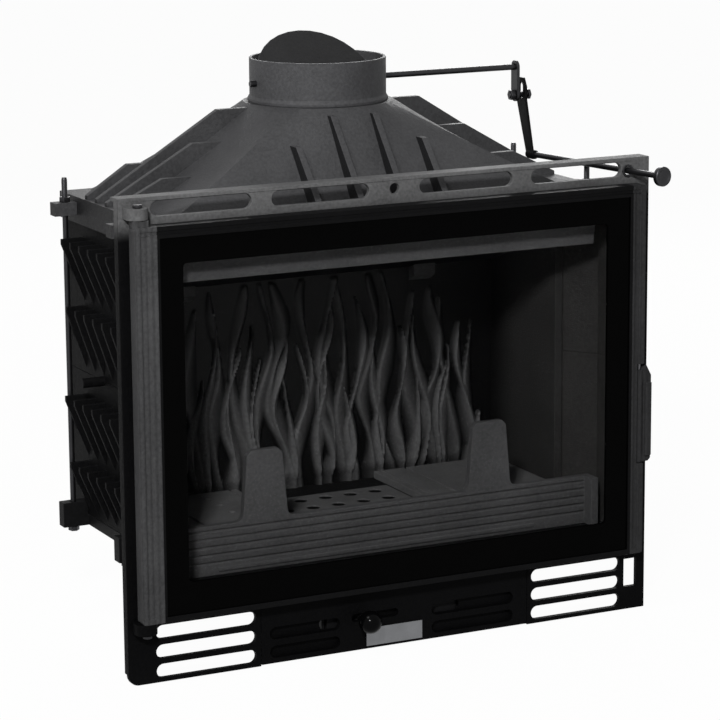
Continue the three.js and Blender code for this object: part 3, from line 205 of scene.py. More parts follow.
def cast_material(name, colour, roughness, grain, specular, second=None, share=None, fluted=0.0):
    """Painted cast iron: sandy grain and a patchy tone; share says where a second tone and flutes come.
    Most callers use the second tone as painted light or painted shade.
    """
    material, tree, shader = new_material(name)
    fine = add_noise(tree, FINE_GRAIN, 3).outputs["Fac"]
    coarse = add_noise(tree, COARSE_GRAIN, 4).outputs["Fac"]
    slow = add_noise(tree, PATCHES, 5, 0.6).outputs["Fac"]
    patches = add_math(tree, "MULTIPLY", add_math(tree, "ADD", slow, coarse), 0.5)
    tone = patchy_tone(tree, patches, colour)
    heights = [(fine, grain, FINE_HEIGHT), (coarse, grain * COARSE_SHARE, COARSE_HEIGHT)]
    if second:
        where = share(tree)
        tone = add_tint(tree, where, tone, patchy_tone(tree, patches, second))
        if fluted:
            place = tree.nodes.new("ShaderNodeTexCoord")
            across = add_axis(tree, place.outputs["Object"], "X")
            waves = add_math(tree, "SINE", add_math(tree, "MULTIPLY", across, 2 * math.pi / FLUTE_PITCH))
            heights.append((add_math(tree, "MULTIPLY", waves, where), fluted, FLUTE_HEIGHT))
    tree.links.new(tone, shader.inputs["Base Color"])
    rough = add_range(tree, coarse, roughness - CAST_ROUGHNESS_SPREAD, roughness + CAST_ROUGHNESS_SPREAD)
    tree.links.new(rough, shader.inputs["Roughness"])
    shader.inputs["Specular IOR Level"].default_value = specular
    add_bump(tree, shader, heights)
    return material


def smooth_material(name, colour, roughness, metallic, specular=0.5, coat=0.0, brushed=0.0):
    """Sheet, turned steel, enamel or print: an even tone, with a fine grain if it is brushed."""
    material, tree, shader = new_material(name)
    slow = add_noise(tree, 40, 4)
    low = [c * 0.92 for c in colour]
    high = [c * 1.08 for c in colour]
    tree.links.new(add_ramp(tree, slow.outputs["Fac"], low, high), shader.inputs["Base Color"])
    fine = add_noise(tree, 700, 2)
    rough = add_range(tree, fine.outputs["Fac"], roughness - 0.03, roughness + 0.03)
    tree.links.new(rough, shader.inputs["Roughness"])
    shader.inputs["Metallic"].default_value = metallic
    shader.inputs["Specular IOR Level"].default_value = specular
    shader.inputs["Coat Weight"].default_value = coat
    shader.inputs["Coat Roughness"].default_value = 0.08
    if brushed:
        add_bump(tree, shader, [(fine.outputs["Fac"], brushed, 0.0002)])
    return material


def rope_material(name, colour):
    """Braided glass rope: slanted strands from two crossing waves."""
    material, tree, shader = new_material(name)
    place = tree.nodes.new("ShaderNodeTexCoord")
    waves = []
    for turn in (45, -45):
        turned = tree.nodes.new("ShaderNodeMapping")
        turned.inputs["Rotation"].default_value = (0, math.radians(turn), 0)
        wave = tree.nodes.new("ShaderNodeTexWave")
        wave.inputs["Scale"].default_value = 160
        wave.inputs["Distortion"].default_value = 1.5
        tree.links.new(place.outputs["Object"], turned.inputs["Vector"])
        tree.links.new(turned.outputs["Vector"], wave.inputs["Vector"])
        waves.append(wave.outputs["Fac"])
    strands = add_math(tree, "MAXIMUM", waves[0], waves[1])
    low = [c * 0.6 for c in colour]
    tree.links.new(add_ramp(tree, strands, low, colour), shader.inputs["Base Color"])
    shader.inputs["Roughness"].default_value = 0.95
    shader.inputs["Specular IOR Level"].default_value = 0.2
    add_bump(tree, shader, [(strands, 0.8, 0.0006)])
    return material


def glass_material(name):
    material, tree, shader = new_material(name)
    shader.inputs["Base Color"].default_value = (0.002, 0.0022, 0.0025, 1)
    shader.inputs["Roughness"].default_value = 0.04
    shader.inputs["Specular IOR Level"].default_value = 0.12
    shader.inputs["Alpha"].default_value = 0.04
    return material


GRATE_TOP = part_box("grate")[1].z
# Metres over which the second tone comes in, along the axis that each material names
# Painted light: a lighter band along the top of the front plate, where light falls on its upper part
PLATE_LIT_BAND = (0.56, 0.59)
# Painted shade: under the grate's top face, in its holes, the floor iron is painted nearly black; the top
# face takes the lighter second tone
GRATE_HOLE_SHADE = (GRATE_TOP - 0.002, GRATE_TOP - 0.0007)
# Painted shade: the flame relief is painted nearly black in its hollows, near the liner's face, and lighter
# towards its crests
RELIEF_HOLLOW_SHADE = (0.1380, 0.1463)
# Painted light and shade: the right liner is lighter at the front, where light comes in through the window,
# and painted dark towards the back
LINER_SHADE_DEPTHS = (0.06, 0.15)

# Painted shade: the front plate and its small castings, the side walls' outer faces, the damper disc and
# the door frame share the hood's and body's black paint, but get much darker base colours for the little
# light that falls on them
IRON_FRONT = cast_material(
    "iron_front", (0.0022, 0.0022, 0.0024), 0.5, grain=0.9, specular=0.02,
    # the second tone is painted light, a lighter band along the top of the plate
    second=(0.085, 0.085, 0.086), share=lambda tree: share_along(tree, "Z", *PLATE_LIT_BAND),
)
# Painted shade: the outer faces of the side walls are painted darker than the hood; the faces that look
# into the firebox take a lighter tone
IRON_SIDE = cast_material(
    "iron_side", (0.0034, 0.0034, 0.0036), 0.5, grain=0.9, specular=0.015,
    second=(0.020, 0.0195, 0.019), share=share_inwards,
)
IRON_BODY = cast_material("iron_body", (0.043, 0.043, 0.045), 0.55, grain=0.9, specular=0.12)
IRON_HOOD = cast_material(
    "iron_hood", (0.036, 0.036, 0.0375), 0.55, grain=1.0, specular=0.12,
    # the second tone is painted shade on the sides of the ribs, which the light from above misses
    second=(0.008, 0.008, 0.0085), share=share_shaded_sideways,
)
# Painted shade: the damper disc is painted darker than the body's iron
IRON_DAMPER = cast_material("iron_damper", (0.013, 0.013, 0.0135), 0.5, grain=1.0, specular=0.1)
IRON_GUARD = cast_material("iron_guard", (0.043, 0.043, 0.044), 0.6, grain=0.6, specular=0.08)
IRON_FLOOR = cast_material(
    "iron_floor", (0.003, 0.003, 0.003), 0.6, grain=0.5, specular=0.05,
    # nearly black below the top face as painted shade in the holes, lighter on the top face
    second=(0.088, 0.088, 0.089), share=lambda tree: share_along(tree, "Z", *GRATE_HOLE_SHADE),
)
IRON_LINING = cast_material("iron_lining", (0.0045, 0.0045, 0.0047), 0.5, grain=0.4, specular=0.03)
IRON_RELIEF = cast_material(
    "iron_relief", (0.070, 0.070, 0.071), 0.45, grain=0.35, specular=0.1,
    # the second tone is painted shade in the hollows between the tongues
    second=(0.0008, 0.0008, 0.0009), share=lambda tree: share_along(tree, "Y", *RELIEF_HOLLOW_SHADE),
)
# Right liner: painted light at its front and painted shade towards its back
IRON_LINER_SHADED = cast_material(
    "iron_liner_shaded", (0.0205, 0.0202, 0.0198), 0.6, grain=0.6, specular=0.04,
    # the second tone is painted shade towards the back of the liner
    second=(0.003, 0.003, 0.003), share=lambda tree: share_along(tree, "Y", *LINER_SHADE_DEPTHS),
)
# Painted shade: the door frame is painted nearly black, darker than the hood's iron
DOOR_BLACK = cast_material(
    "door_black", (0.0028, 0.0028, 0.003), 0.45, grain=0.5, specular=0.04,
    # the second tone is a painted highlight on the frame's sides; the flutes there are bumps
    second=(0.038, 0.038, 0.039), share=share_lit_stiles, fluted=0.35,
)
SHEET_BLACK = smooth_material(
    "sheet_black", (0.006, 0.006, 0.0065), 0.5, 0.0, specular=0.05, brushed=0.1,
)
STEEL = smooth_material("bright_steel", (0.10, 0.10, 0.105), 0.34, 1.0, brushed=0.08)
STEEL_DARK = smooth_material("dark_steel", (0.030, 0.030, 0.032), 0.38, 0.9, brushed=0.08)
KNOB = smooth_material("knob_black", (0.001, 0.001, 0.0011), 0.16, 0.0, specular=0.03, coat=0.01)
PLATE = smooth_material("plain_plate", (0.17, 0.173, 0.18), 0.4, 0.9, brushed=0.1)
GLASS = glass_material("fire_glass")
PRINT = smooth_material("glass_print", (0.0006, 0.0006, 0.0006), 0.15, 0.0, specular=0.015)
ROPE = rope_material("seal_rope", (0.05, 0.048, 0.045))

SLOT_MATERIAL = {
    "cast_iron_black": IRON_BODY,
    "door_black": DOOR_BLACK,
    "sheet_black": SHEET_BLACK,
    "bright_steel": STEEL,
    "fire_glass": GLASS,
    "seal_rope": ROPE,
    "knob_black": KNOB,
    "plain_plate": PLATE,
}
MATERIAL_NODES = [
    (IRON_FRONT, ["front_plate", "drawer_front", "air_shutter", "latch_keeper"]),
    (IRON_FRONT, ["hinge_bracket_upper", "hinge_bracket_lower"]),
    (IRON_SIDE, [node for node in NODES if node.startswith("wall_")]),
    (IRON_DAMPER, ["damper_disc"]),
    (IRON_HOOD, ["hood"]),
    (IRON_GUARD, ["log_guard", "front_baffle", "deflector_peg_left", "deflector_peg_right"]),
    (IRON_LINING, ["liner_left", "deflector", "back_wall", "base_casting", "inner_door_frame"]),
    (IRON_FLOOR, ["floor_plate_left", "floor_plate_right", "grate"]),
    (IRON_RELIEF, ["back_liner"]),
    (IRON_LINER_SHADED, ["liner_right"]),
    (STEEL_DARK, [node for node in NODES if node.startswith("tie_")]),
    (STEEL_DARK, ["damper_shaft", "crank_arm", "crank_bolt", "crank_nut"]),
    (STEEL_DARK, ["pull_rod", "pull_rod_bush", "pull_knob", "hinge_pin_upper", "hinge_pin_lower"]),
]
NODE_MATERIAL = {node: material for material, nodes in MATERIAL_NODES for node in nodes}


def material_of(node):
    return NODE_MATERIAL.get(node, SLOT_MATERIAL[SLOT[node]])


for node, cad in NODES.items():
    cad.data.materials.clear()
    cad.data.materials.append(material_of(node))


# Pieces ---------------------------------------------------------------------

SMOOTH_ANGLE = 33  # degrees; edges that turn more than this are shaded sharp
SHARP_ANGLE = 30  # degrees; edges that turn more than this are rounded
SOFT_EDGE = 0.6  # mm, the usual width of a rounded edge
SAME_PLACE = 1e-5  # metres between corners that count as one


def place_piece(name, bm, node, material=None, smooth=SMOOTH_ANGLE, replaces=True, weighted=True):
    """Turns a bmesh into a piece that rides with a CAD node's body and takes the given material or the
    node's.
    """
    bmesh.ops.recalc_face_normals(bm, faces=bm.faces)
    for face in bm.faces:
        face.smooth = True
    mesh = bpy.data.meshes.new(name)
    bm.to_mesh(mesh)
    bm.free()
    mesh.set_sharp_from_angle(angle=math.radians(smooth))
    mesh.materials.append(material or material_of(node))
    piece = bpy.data.objects.new(name, mesh)
    bpy.context.scene.collection.objects.link(piece)
    if weighted:
        weights = piece.modifiers.new("face_weights", "WEIGHTED_NORMAL")
        weights.keep_sharp = True
    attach(piece, BODY[node])
    if replaces:
        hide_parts(node)
    return piece


def bevel_edges(bm, width, segments=2):
    sharp = [
        edge for edge in bm.edges
        if len(edge.link_faces) == 2 and edge.calc_face_angle(0) > math.radians(SHARP_ANGLE)
    ]
    bmesh.ops.bevel(
        bm,
        geom=sharp,
        offset=width,
        offset_type="OFFSET",
        affect="EDGES",
        segments=segments,
        profile=0.5,
        material=-1,
        clamp_overlap=False,
    )


def welded(node):
    """A copy of a CAD node whose faces share their corners."""
    bm = bmesh.new()
    bm.from_mesh(NODES[node].data)
    bmesh.ops.remove_doubles(bm, verts=bm.verts, dist=SAME_PLACE)
    return bm


def soften(bm, width, segments=2):
    """Rounds the sharp edges and holds the result inside the box that the mesh had before."""
    low = [min(v.co[axis] for v in bm.verts) for axis in range(3)]
    high = [max(v.co[axis] for v in bm.verts) for axis in range(3)]
    bevel_edges(bm, width * MM, segments)
    for v in bm.verts:
        for axis in range(3):
            v.co[axis] = min(max(v.co[axis], low[axis]), high[axis])
    return bm


def hexagon_reach(radius, angle):
    """From the middle of a hexagon to its side, whose flats are a radius away, at an angle."""
    sixth = math.pi / 3
    return radius / math.cos((angle % sixth) - sixth / 2)


def turned(profile, origin, axis, segments=32):
    """A closed body of revolution. Profile rows are (radius, along, is_hexagonal), in millimetres."""
    axis = Vector(axis).normalized()
    side = axis.orthogonal().normalized()
    other = axis.cross(side)
    bm = bmesh.new()
    rings = []
    for radius, along, is_hexagonal in profile:
        centre = origin + axis * along * MM
        if radius == 0:
            rings.append([bm.verts.new(centre)])
            continue
        ring = []
        for i in range(segments):
            angle = 2 * math.pi * i / segments
            reach = hexagon_reach(radius, angle) if is_hexagonal else radius
            outwards = side * math.cos(angle) + other * math.sin(angle)
            ring.append(bm.verts.new(centre + outwards * reach * MM))
        rings.append(ring)
    for low, high in zip(rings, rings[1:]):
        for i in range(segments):
            j = (i + 1) % segments
            corners = [low[i % len(low)], low[j % len(low)], high[j % len(high)], high[i % len(high)]]
            bm.faces.new(dict.fromkeys(corners))
    return bm


def arc(centre_radius, centre_along, radius, start, end, steps=6):
    """Rows of a rounded corner for turned(), angles in degrees from straight out."""
    rows = []
    for i in range(steps + 1):
        angle = math.radians(start + (end - start) * i / steps)
        out = centre_radius + radius * math.cos(angle)
        rows.append((out, centre_along + radius * math.sin(angle), False))
    return rows


BOX_SIDES = ((0, 1, 3, 2), (4, 6, 7, 5), (0, 4, 5, 1), (2, 3, 7, 6), (0, 2, 6, 4), (1, 5, 7, 3))


def add_box(bm, low, high):
    corners = [
        bm.verts.new((x, y, z))
        for x in (low[0], high[0])
        for y in (low[1], high[1])
        for z in (low[2], high[2])
    ]
    for quad in BOX_SIDES:
        bm.faces.new([corners[i] for i in quad])


def soft_box(low, high, edge):
    """A box between two corners, with its edges rounded by a width in millimetres."""
    bm = bmesh.new()
    add_box(bm, low, high)
    bmesh.ops.recalc_face_normals(bm, faces=bm.faces)
    bevel_edges(bm, edge * MM)
    return bm


# Cast and machined pieces with rounded edges ---------------------------------

SOFT_EDGES = {  # mm
    "front_plate": 0.9, "drawer_front": 0.7, "door_frame": 0.6, "log_guard": 1.0,
    "flue_collar": 0.7, "base_casting": 1.0, "hinge_bracket_upper": 1.2, "hinge_bracket_lower": 1.2,
    "latch_lever": 0.9, "latch_keeper": 0.8, "door_seal": 1.3, "glass_seal": 0.9, "blank_plate": 0.35,
    "air_shutter": 0.3, "ash_pan": 0.4,
}
OWN_SHAPES = {"hood", "back_liner", "door_glass", "damper_shaft"}
OWN_SHAPES |= {"pull_rod", "pull_knob", "shutter_stem", "shutter_knob"}
OWN_SHAPES |= {node for node in NODES if node.startswith("tie_rod_")}

for node in sorted(set(NODES) - OWN_SHAPES):
    segments = 3 if node.endswith("_seal") else 2
    soft = soften(welded(node), SOFT_EDGES.get(node, SOFT_EDGE), segments)
    place_piece(node + "_cast", soft, node)


# Hood: the cast flange, a drawn-in wall from a rectangle to a circle, and the ribs ----

# Millimetres, as in the solid hood
HOOD_HALF, HOOD_DEPTHS, HOOD_RISE = 280, (52, 332), 113
HOOD_TOP_RADIUS, FLUE_DEPTH, HOOD_WALL = 99, 221, 13
HOOD_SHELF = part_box("hood")[1].z / MM - HOOD_RISE
RIB_HALF, RIB_FOOT = 4.5, 5
SIDE_RIB_FOOT, FRONT_RIB_FOOT = 317, 29
SIDE_RIBS = [  # depth, and the corner's place across and height
    (253, 260, 42),
    (219, 147, 109.5),
    (185, 197.6, 73),
    (151, 254, 36),
]
FRONT_RIBS = [(30, 112, 105), (90, 90, 72)]  # offset, and the corner's depth and height
# Own to the looks
HOOD_DRAW = 0.92  # under 1 the wall draws in early, so that the ribs stand out from it
HOOD_SIDES, HOOD_STEPS, RIB_STEPS = 80, 14, 9
HOOD_SUNK = 0.4  # mm that the wall and the ribs reach down into the flange
FLANGE_CUT = 0.1  # mm under the shelf, where the solid's copy is cut off
FLANGE_EDGE = 1.0
FRONT_REACH = 30  # mm before the flue's middle, where the hood's front ends
RIB_EDGE = 0.9  # mm


def hood_ring(rise, inset):
    """The wall's outline at a share of the hood's height, as x and y in millimetres."""
    turn = np.linspace(0, 2 * math.pi, HOOD_SIDES, endpoint=False)
    c, s = np.cos(turn), np.sin(turn)
    square = np.maximum(np.abs(c), np.abs(s))
    drawn = max(rise, 0) ** HOOD_DRAW
    middle = sum(HOOD_DEPTHS) / 2
    half_depth = (HOOD_DEPTHS[1] - HOOD_DEPTHS[0]) / 2 - inset
    radius = HOOD_TOP_RADIUS - inset
    x = (1 - drawn) * (HOOD_HALF - inset) * c / square + drawn * radius * c
    y = (1 - drawn) * (middle + half_depth * s / square) + drawn * (FLUE_DEPTH + radius * s)
    return x, y


def hood_wall():
    """Up the outside, over the top edge and down the inside."""
    rises = [i / HOOD_STEPS for i in range(HOOD_STEPS + 1)]
    levels = [(0, -HOOD_SUNK, 0)]
    levels += [(rise, rise * HOOD_RISE, 0) for rise in rises]
    levels += [(rise, rise * HOOD_RISE, HOOD_WALL) for rise in reversed(rises)]
    levels += [(0, -HOOD_SUNK, HOOD_WALL)]
    bm = bmesh.new()
    rings = [
        [bm.verts.new(at(x, y, HOOD_SHELF + z)) for x, y in zip(*hood_ring(rise, inset))]
        for rise, z, inset in levels
    ]
    for low, high in zip(rings, rings[1:] + rings[:1]):
        for i in range(HOOD_SIDES):
            j = (i + 1) % HOOD_SIDES
            bm.faces.new((low[i], low[j], high[j], high[i]))
    return bm


def side_wall(z, depth):
    """How far across the middle of the wall stands, at a height and a depth."""
    x, y = hood_ring(z / HOOD_RISE, HOOD_WALL / 2)
    right = sorted((b, a) for a, b in zip(x, y) if a > 0)
    return np.interp(depth, [b for b, a in right], [a for b, a in right])


def front_wall(z, offset):
    """How deep the middle of the wall stands, at a height and an offset from the hood's middle."""
    x, y = hood_ring(z / HOOD_RISE, HOOD_WALL / 2)
    front = sorted((a, b) for a, b in zip(x, y) if b < FLUE_DEPTH - FRONT_REACH)
    return np.interp(offset, [a for a, b in front], [b for a, b in front])


def rib_outline(foot, corner, height, wall, place):
    """The rib's outer edge, then down the middle of the hood's wall."""
    outline = [(foot, -HOOD_SUNK), (foot, RIB_FOOT), (corner, height)]
    return outline + [(wall(z, place), z) for z in np.linspace(height, -HOOD_SUNK, RIB_STEPS)]


def add_prism(bm, near, far):
    """A solid between two outlines that are the same shape."""
    near = [bm.verts.new(place) for place in near]
    far = [bm.verts.new(place) for place in far]
    bm.faces.new(near)
    bm.faces.new(far[::-1])
    for i in range(len(near)):
        j = (i + 1) % len(near)
        bm.faces.new((near[j], near[i], far[i], far[j]))


def hood_ribs():
    bm = bmesh.new()
    for depth, corner, height in SIDE_RIBS:
        outline = rib_outline(SIDE_RIB_FOOT, corner, height, side_wall, depth)
        for side in (-1, 1):
            near, far = (
                [at(side * x, depth + half, HOOD_SHELF + z) for x, z in outline]
                for half in (-RIB_HALF, RIB_HALF)
            )
            add_prism(bm, near, far)
    for offset, corner, height in FRONT_RIBS:
        outline = rib_outline(FRONT_RIB_FOOT, corner, height, front_wall, offset)
        for side in (-1, 1):
            near, far = (
                [at(side * offset + half, y, HOOD_SHELF + z) for y, z in outline]
                for half in (-RIB_HALF, RIB_HALF)
            )
            add_prism(bm, near, far)
    bmesh.ops.recalc_face_normals(bm, faces=bm.faces)
    bevel_edges(bm, RIB_EDGE * MM)
    return bm


def take_in(bm, other):
    """Adds another bmesh, which is used up."""
    mesh = bpy.data.meshes.new("taken_in")
    other.to_mesh(mesh)
    other.free()
    bm.from_mesh(mesh)
    bpy.data.meshes.remove(mesh)


def in_fixed_order(bm):
    """The same mesh with its faces in one fixed order; the cut leaves them in a chance one."""
    bm.verts.index_update()
    faces = []
    for face in bm.faces:
        corners = [v.index for v in face.verts]
        first = corners.index(min(corners))
        faces.append(corners[first:] + corners[:first])
    ordered = bmesh.new()
    verts = [ordered.verts.new(v.co) for v in bm.verts]
    for corners in sorted(faces):
        ordered.faces.new([verts[i] for i in corners])
    bm.free()
    return ordered


def hood():
    """The flange and lugs of the solid, cut off just under the shelf, with the wall and ribs on them."""
    bm = welded("hood")
    cut = (0, 0, (HOOD_SHELF - FLANGE_CUT) * MM)
    parts = bm.verts[:] + bm.edges[:] + bm.faces[:]
    bmesh.ops.bisect_plane(
        bm, geom=parts, dist=1e-7, plane_co=cut, plane_no=(0, 0, 1), clear_outer=True
    )
    rim = [edge for edge in bm.edges if edge.is_boundary]
    bmesh.ops.triangle_fill(bm, use_beauty=True, edges=rim, normal=(0, 0, 1))
    bmesh.ops.recalc_face_normals(bm, faces=bm.faces)
    flange = soften(in_fixed_order(bm), FLANGE_EDGE)
    take_in(flange, hood_wall())
    take_in(flange, hood_ribs())
    return flange


place_piece("hood_cast", hood(), "hood")


# Back liner with its flame relief ---------------------------------------------

LINER_HALF = 291.2
LINER_LOW, LINER_TOP = 150.3, 490
LINER_FACE, LINER_REAR, SPACER_REAR = 278, 290, 327.5
RELIEF, LOW_RELIEF = 10.5, 5.9  # above the floor plates, and beside them
FLOOR_EDGE = 162
FLAME_ROWS = [
    # count, lowest and highest share of the height, half width, share of the relief
    (17, 0.95, 1.3, 17, 0.6),
    (15, 0.60, 1.0, 13, 0.82),
    (12, 0.30, 0.65, 11, 1.0),
]
FLAME_FOOT, FLAME_TOP = 160.5, 439
FLAME_SHIFT, FLAME_LEAN = 5, 16  # mm to either side
FLAME_SWAYS, FLAME_PHASES = (6, 11), (-0.6, 0.9)  # mm, radians
FLAME_WAVES, FLAME_WIDTHS = (1.0, 1.6), (0.8, 1.2)
FLAME_FALL, FALL_START = 0.35, 40  # how much lower the tongues are towards the right end
RIDGE_PHASES = (0, 6.28)
PEG_OFFSET, PEG_CLEAR, PEG_LOW = 179, 30, 412
SPACERS, SPACER_WIDTH = (-190, 170), 20
GRID = 1.9


def flame_heights(x, z):
    """Height of the relief: wavy tongues that end in tips, the nearer ones over the others."""
    relief = np.zeros_like(x)
    for row, (count, short, tall, half_width, depth) in enumerate(FLAME_ROWS):
        pitch = 2 * (LINER_HALF - 16) / count
        for i in range(count):
            middle = (i - (count - 1) / 2) * pitch + dice.uniform(-FLAME_SHIFT, FLAME_SHIFT)
            fall = 1 - FLAME_FALL * max(0, middle - FALL_START) / LINER_HALF
            height = (FLAME_TOP - FLAME_FOOT) * dice.uniform(short, tall) * fall
            sway = dice.uniform(*FLAME_SWAYS) * (1 if (i + row) % 2 else -1)
            phase = dice.uniform(*FLAME_PHASES)
            waves = dice.uniform(*FLAME_WAVES) * height / (FLAME_TOP - FLAME_FOOT)
            lean = dice.uniform(-FLAME_LEAN, FLAME_LEAN)
            half = half_width * dice.uniform(*FLAME_WIDTHS)
            ridge_phase = dice.uniform(*RIDGE_PHASES)
            rise = (z - FLAME_FOOT) / height
            up = np.clip(rise, 0, 1)
            centre = middle + lean * up + sway * np.sin(2 * math.pi * waves * up + phase)
            swell = 0.75 + 0.35 * np.sin(2 * math.pi * (waves * up * 1.3) + ridge_phase)
            width = half * swell * np.sqrt(np.clip(1 - up**1.6, 0, 1))
            across = (x - centre) / np.maximum(width, 0.4)
            ridge = 0.6 * np.sin(2 * math.pi * waves * up + phase + 1.3)
            left = (across + 1) / (ridge + 1)
            right = (1 - across) / (1 - ridge)
            body = np.clip(np.minimum(left, right), 0, 1) ** 0.8
            body *= depth * (0.6 + 0.4 * np.cos(up * 1.4))
            relief = np.maximum(relief, np.where(rise <= 1, body, 0))
    near_peg = np.abs(np.abs(x) - PEG_OFFSET) < PEG_CLEAR
    top = np.where(near_peg, PEG_LOW, FLAME_TOP)
    relief *= np.clip((top - z) / 5, 0, 1)
    relief *= np.clip((LINER_HALF - 2 - np.abs(x)) / 6, 0, 1)
    low = np.clip((z - FLOOR_EDGE) / 10, 0, 1)
    return relief * (LOW_RELIEF + (RELIEF - LOW_RELIEF) * low)


def back_liner():
    columns = int(2 * LINER_HALF / GRID) + 1
    rows = int((LINER_TOP - LINER_LOW) / GRID) + 1
    xs = np.linspace(-LINER_HALF, LINER_HALF, columns)
    zs = np.linspace(LINER_LOW, LINER_TOP, rows)
    x, z = np.meshgrid(xs, zs)
    y = LINER_FACE - flame_heights(x, z)
    bm = bmesh.new()
    front = [
        [bm.verts.new(at(x[r, c], y[r, c], z[r, c])) for c in range(columns)]
        for r in range(rows)
    ]
    for r in range(rows - 1):
        for c in range(columns - 1):
            bm.faces.new((front[r][c], front[r][c + 1], front[r + 1][c + 1], front[r + 1][c]))
    rim = front[0][:-1] + [line[-1] for line in front[:-1]]
    rim += front[-1][:0:-1] + [line[0] for line in front[:0:-1]]
    back = [bm.verts.new((v.co.x, (LINER_REAR - SET_BACK) * MM, v.co.z)) for v in rim]
    for i, corner in enumerate(rim):
        j = (i + 1) % len(rim)
        bm.faces.new((corner, rim[j], back[j], back[i]))
    bm.faces.new(back)
    for left in SPACERS:
        low = at(left, LINER_REAR - 1, LINER_LOW + 0.5)
        add_box(bm, low, at(left + SPACER_WIDTH, SPACER_REAR, LINER_TOP - 0.5))
    return bm


place_piece("flame_relief", back_liner(), "back_liner", smooth=50, weighted=False)


# Door glass with its printed border --------------------------------------------

GLASS_X, GLASS_Z, GLASS_Y = (-334.5, 336.5), (87.5, 569.5), (-22, -18)
GLASS_EDGE = 0.6
WINDOW_X, WINDOW_Z = (-300, 300), (131, 533)
PANE_CORNER, WINDOW_CORNER, CORNER_STEPS = 2, 5, 6


def rounded_corners(xs, zs, radius):
    """Corners of a rounded rectangle, as (x, z) in millimetres, counterclockwise."""
    points = []
    for x, z, start in ((xs[1], zs[1], 0), (xs[0], zs[1], 90), (xs[0], zs[0], 180), (xs[1], zs[0], 270)):
        cx = x - math.copysign(radius, x)
        cz = z - (radius if z == zs[1] else -radius)
        for i in range(CORNER_STEPS + 1):
            angle = math.radians(start + 90 * i / CORNER_STEPS)
            points.append((cx + radius * math.cos(angle), cz + radius * math.sin(angle)))
    return points


def glass_pane():
    """The pane, front to back as rings; the print is the ring around the window on both its faces."""
    edge = GLASS_EDGE
    inner_x = (GLASS_X[0] + edge, GLASS_X[1] - edge)
    inner_z = (GLASS_Z[0] + edge, GLASS_Z[1] - edge)
    inner = rounded_corners(inner_x, inner_z, PANE_CORNER)
    outer = rounded_corners(GLASS_X, GLASS_Z, PANE_CORNER + edge)
    window = rounded_corners(WINDOW_X, WINDOW_Z, WINDOW_CORNER)
    bm = bmesh.new()
    rings = [
        [bm.verts.new(at(x, depth, z)) for x, z in line]
        for line, depth in (
            (window, GLASS_Y[0]),
            (inner, GLASS_Y[0]),
            (outer, GLASS_Y[0] + edge),
            (outer, GLASS_Y[1] - edge),
            (inner, GLASS_Y[1]),
            (window, GLASS_Y[1]),
        )
    ]
    bm.faces.new(rings[0])
    bm.faces.new(rings[-1])
    for level, (low, high) in enumerate(zip(rings, rings[1:])):
        for i in range(len(low)):
            j = (i + 1) % len(low)
            face = bm.faces.new((low[i], low[j], high[j], high[i]))
            face.material_index = 1 if level in (0, len(rings) - 2) else 0
    return bm


pane = place_piece("glass_pane", glass_pane(), "door_glass", GLASS, smooth=20, weighted=False)
pane.data.materials.append(PRINT)


# Ends of the base casting's front shelf -------------------------------------------

SHELF_ENDS, SHELF_END_Y, SHELF_END_Z, SHELF_END_EDGE = (334.5, 344.5), (9, 58.5), (112.5, 149.9), 0.8

for side, name in ((-1, "left"), (1, "right")):
    ends = sorted(side * x for x in SHELF_ENDS)
    low = at(ends[0], SHELF_END_Y[0], SHELF_END_Z[0])
    high = at(ends[1], SHELF_END_Y[1], SHELF_END_Z[1])
    shelf_end = soft_box(low, high, SHELF_END_EDGE)
    place_piece("shelf_end_" + name, shelf_end, "base_casting", IRON_SIDE, replaces=False)


# Cover behind the right ends of the drawer's slots, past the shutter ---------------

slot_cover = soft_box(at(141, 8.2, 6), at(179, 9.6, 52), 0.3)
place_piece("slot_cover", slot_cover, "drawer_front", IRON_FRONT, replaces=False)


# Rods, knobs and screws --------------------------------------------------------

ROD_TURN = 9.6  # degrees between the pull rod and the front plate's square
ROD_SIDE = Vector((math.sin(math.radians(ROD_TURN)), -math.cos(math.radians(ROD_TURN)), 0))
ROD_DEPTH, ROD_REAR_DEPTH = 4, 195  # mm, of the rod's own zero and of its rear end
ROD_START = at(342, ROD_DEPTH, 597)
ROD_RADIUS, STEM_RADIUS, TIE_RADIUS = 4, 3.5, 4
ROD_FRONT, KNOB_REAR = 66, 66.3  # mm along the rod
ROD_EDGE = 0.6
THREAD_PITCH, THREAD_DEPTH, TIE_THREAD = 1.5, 0.45, 34
BALL_RADIUS = 14.95
TIE_HEAD = [
    (0, 0, True), (5.6, 0, True), (6.4, 0.7, True),
    (6.4, 5.8, True), (5.6, 6.5, True), (0, 6.5, True),
]


def rod_rows(low, high, radius):
    return [
        (0, low, False), (radius - ROD_EDGE, low, False), (radius, low + ROD_EDGE, False),
        (radius, high - ROD_EDGE, False), (radius - ROD_EDGE, high, False), (0, high, False),
    ]


def thread_rows(low, high, thread_low, radius):
    """A plain rod whose upper end is threaded."""
    rows = [(0, low, False), (radius - 0.3, low, False), (radius - 0.3, thread_low, False)]
    place = thread_low
    while place + THREAD_PITCH < high - 1:
        rows += [(radius - THREAD_DEPTH, place + 0.1, False), (radius, place + THREAD_PITCH / 2, False)]
        place += THREAD_PITCH
    return rows + [
        (radius - THREAD_DEPTH, place, False), (radius - THREAD_DEPTH - 0.4, high, False), (0, high, False),
    ]


for node in sorted(n for n in NODES if n.startswith("tie_rod_")):
    low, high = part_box(node)
    centre = (low + high) / 2
    foot = Vector((centre.x, centre.y, low.z))
    length = (high.z - low.z) / MM
    shank = thread_rows(1, length, length - TIE_THREAD, TIE_RADIUS)
    place_piece(node + "_shank", turned(shank, foot, (0, 0, 1), 20), node, weighted=False)
    place_piece(node + "_head", turned(TIE_HEAD, foot, (0, 0, 1), 24), node, replaces=False)

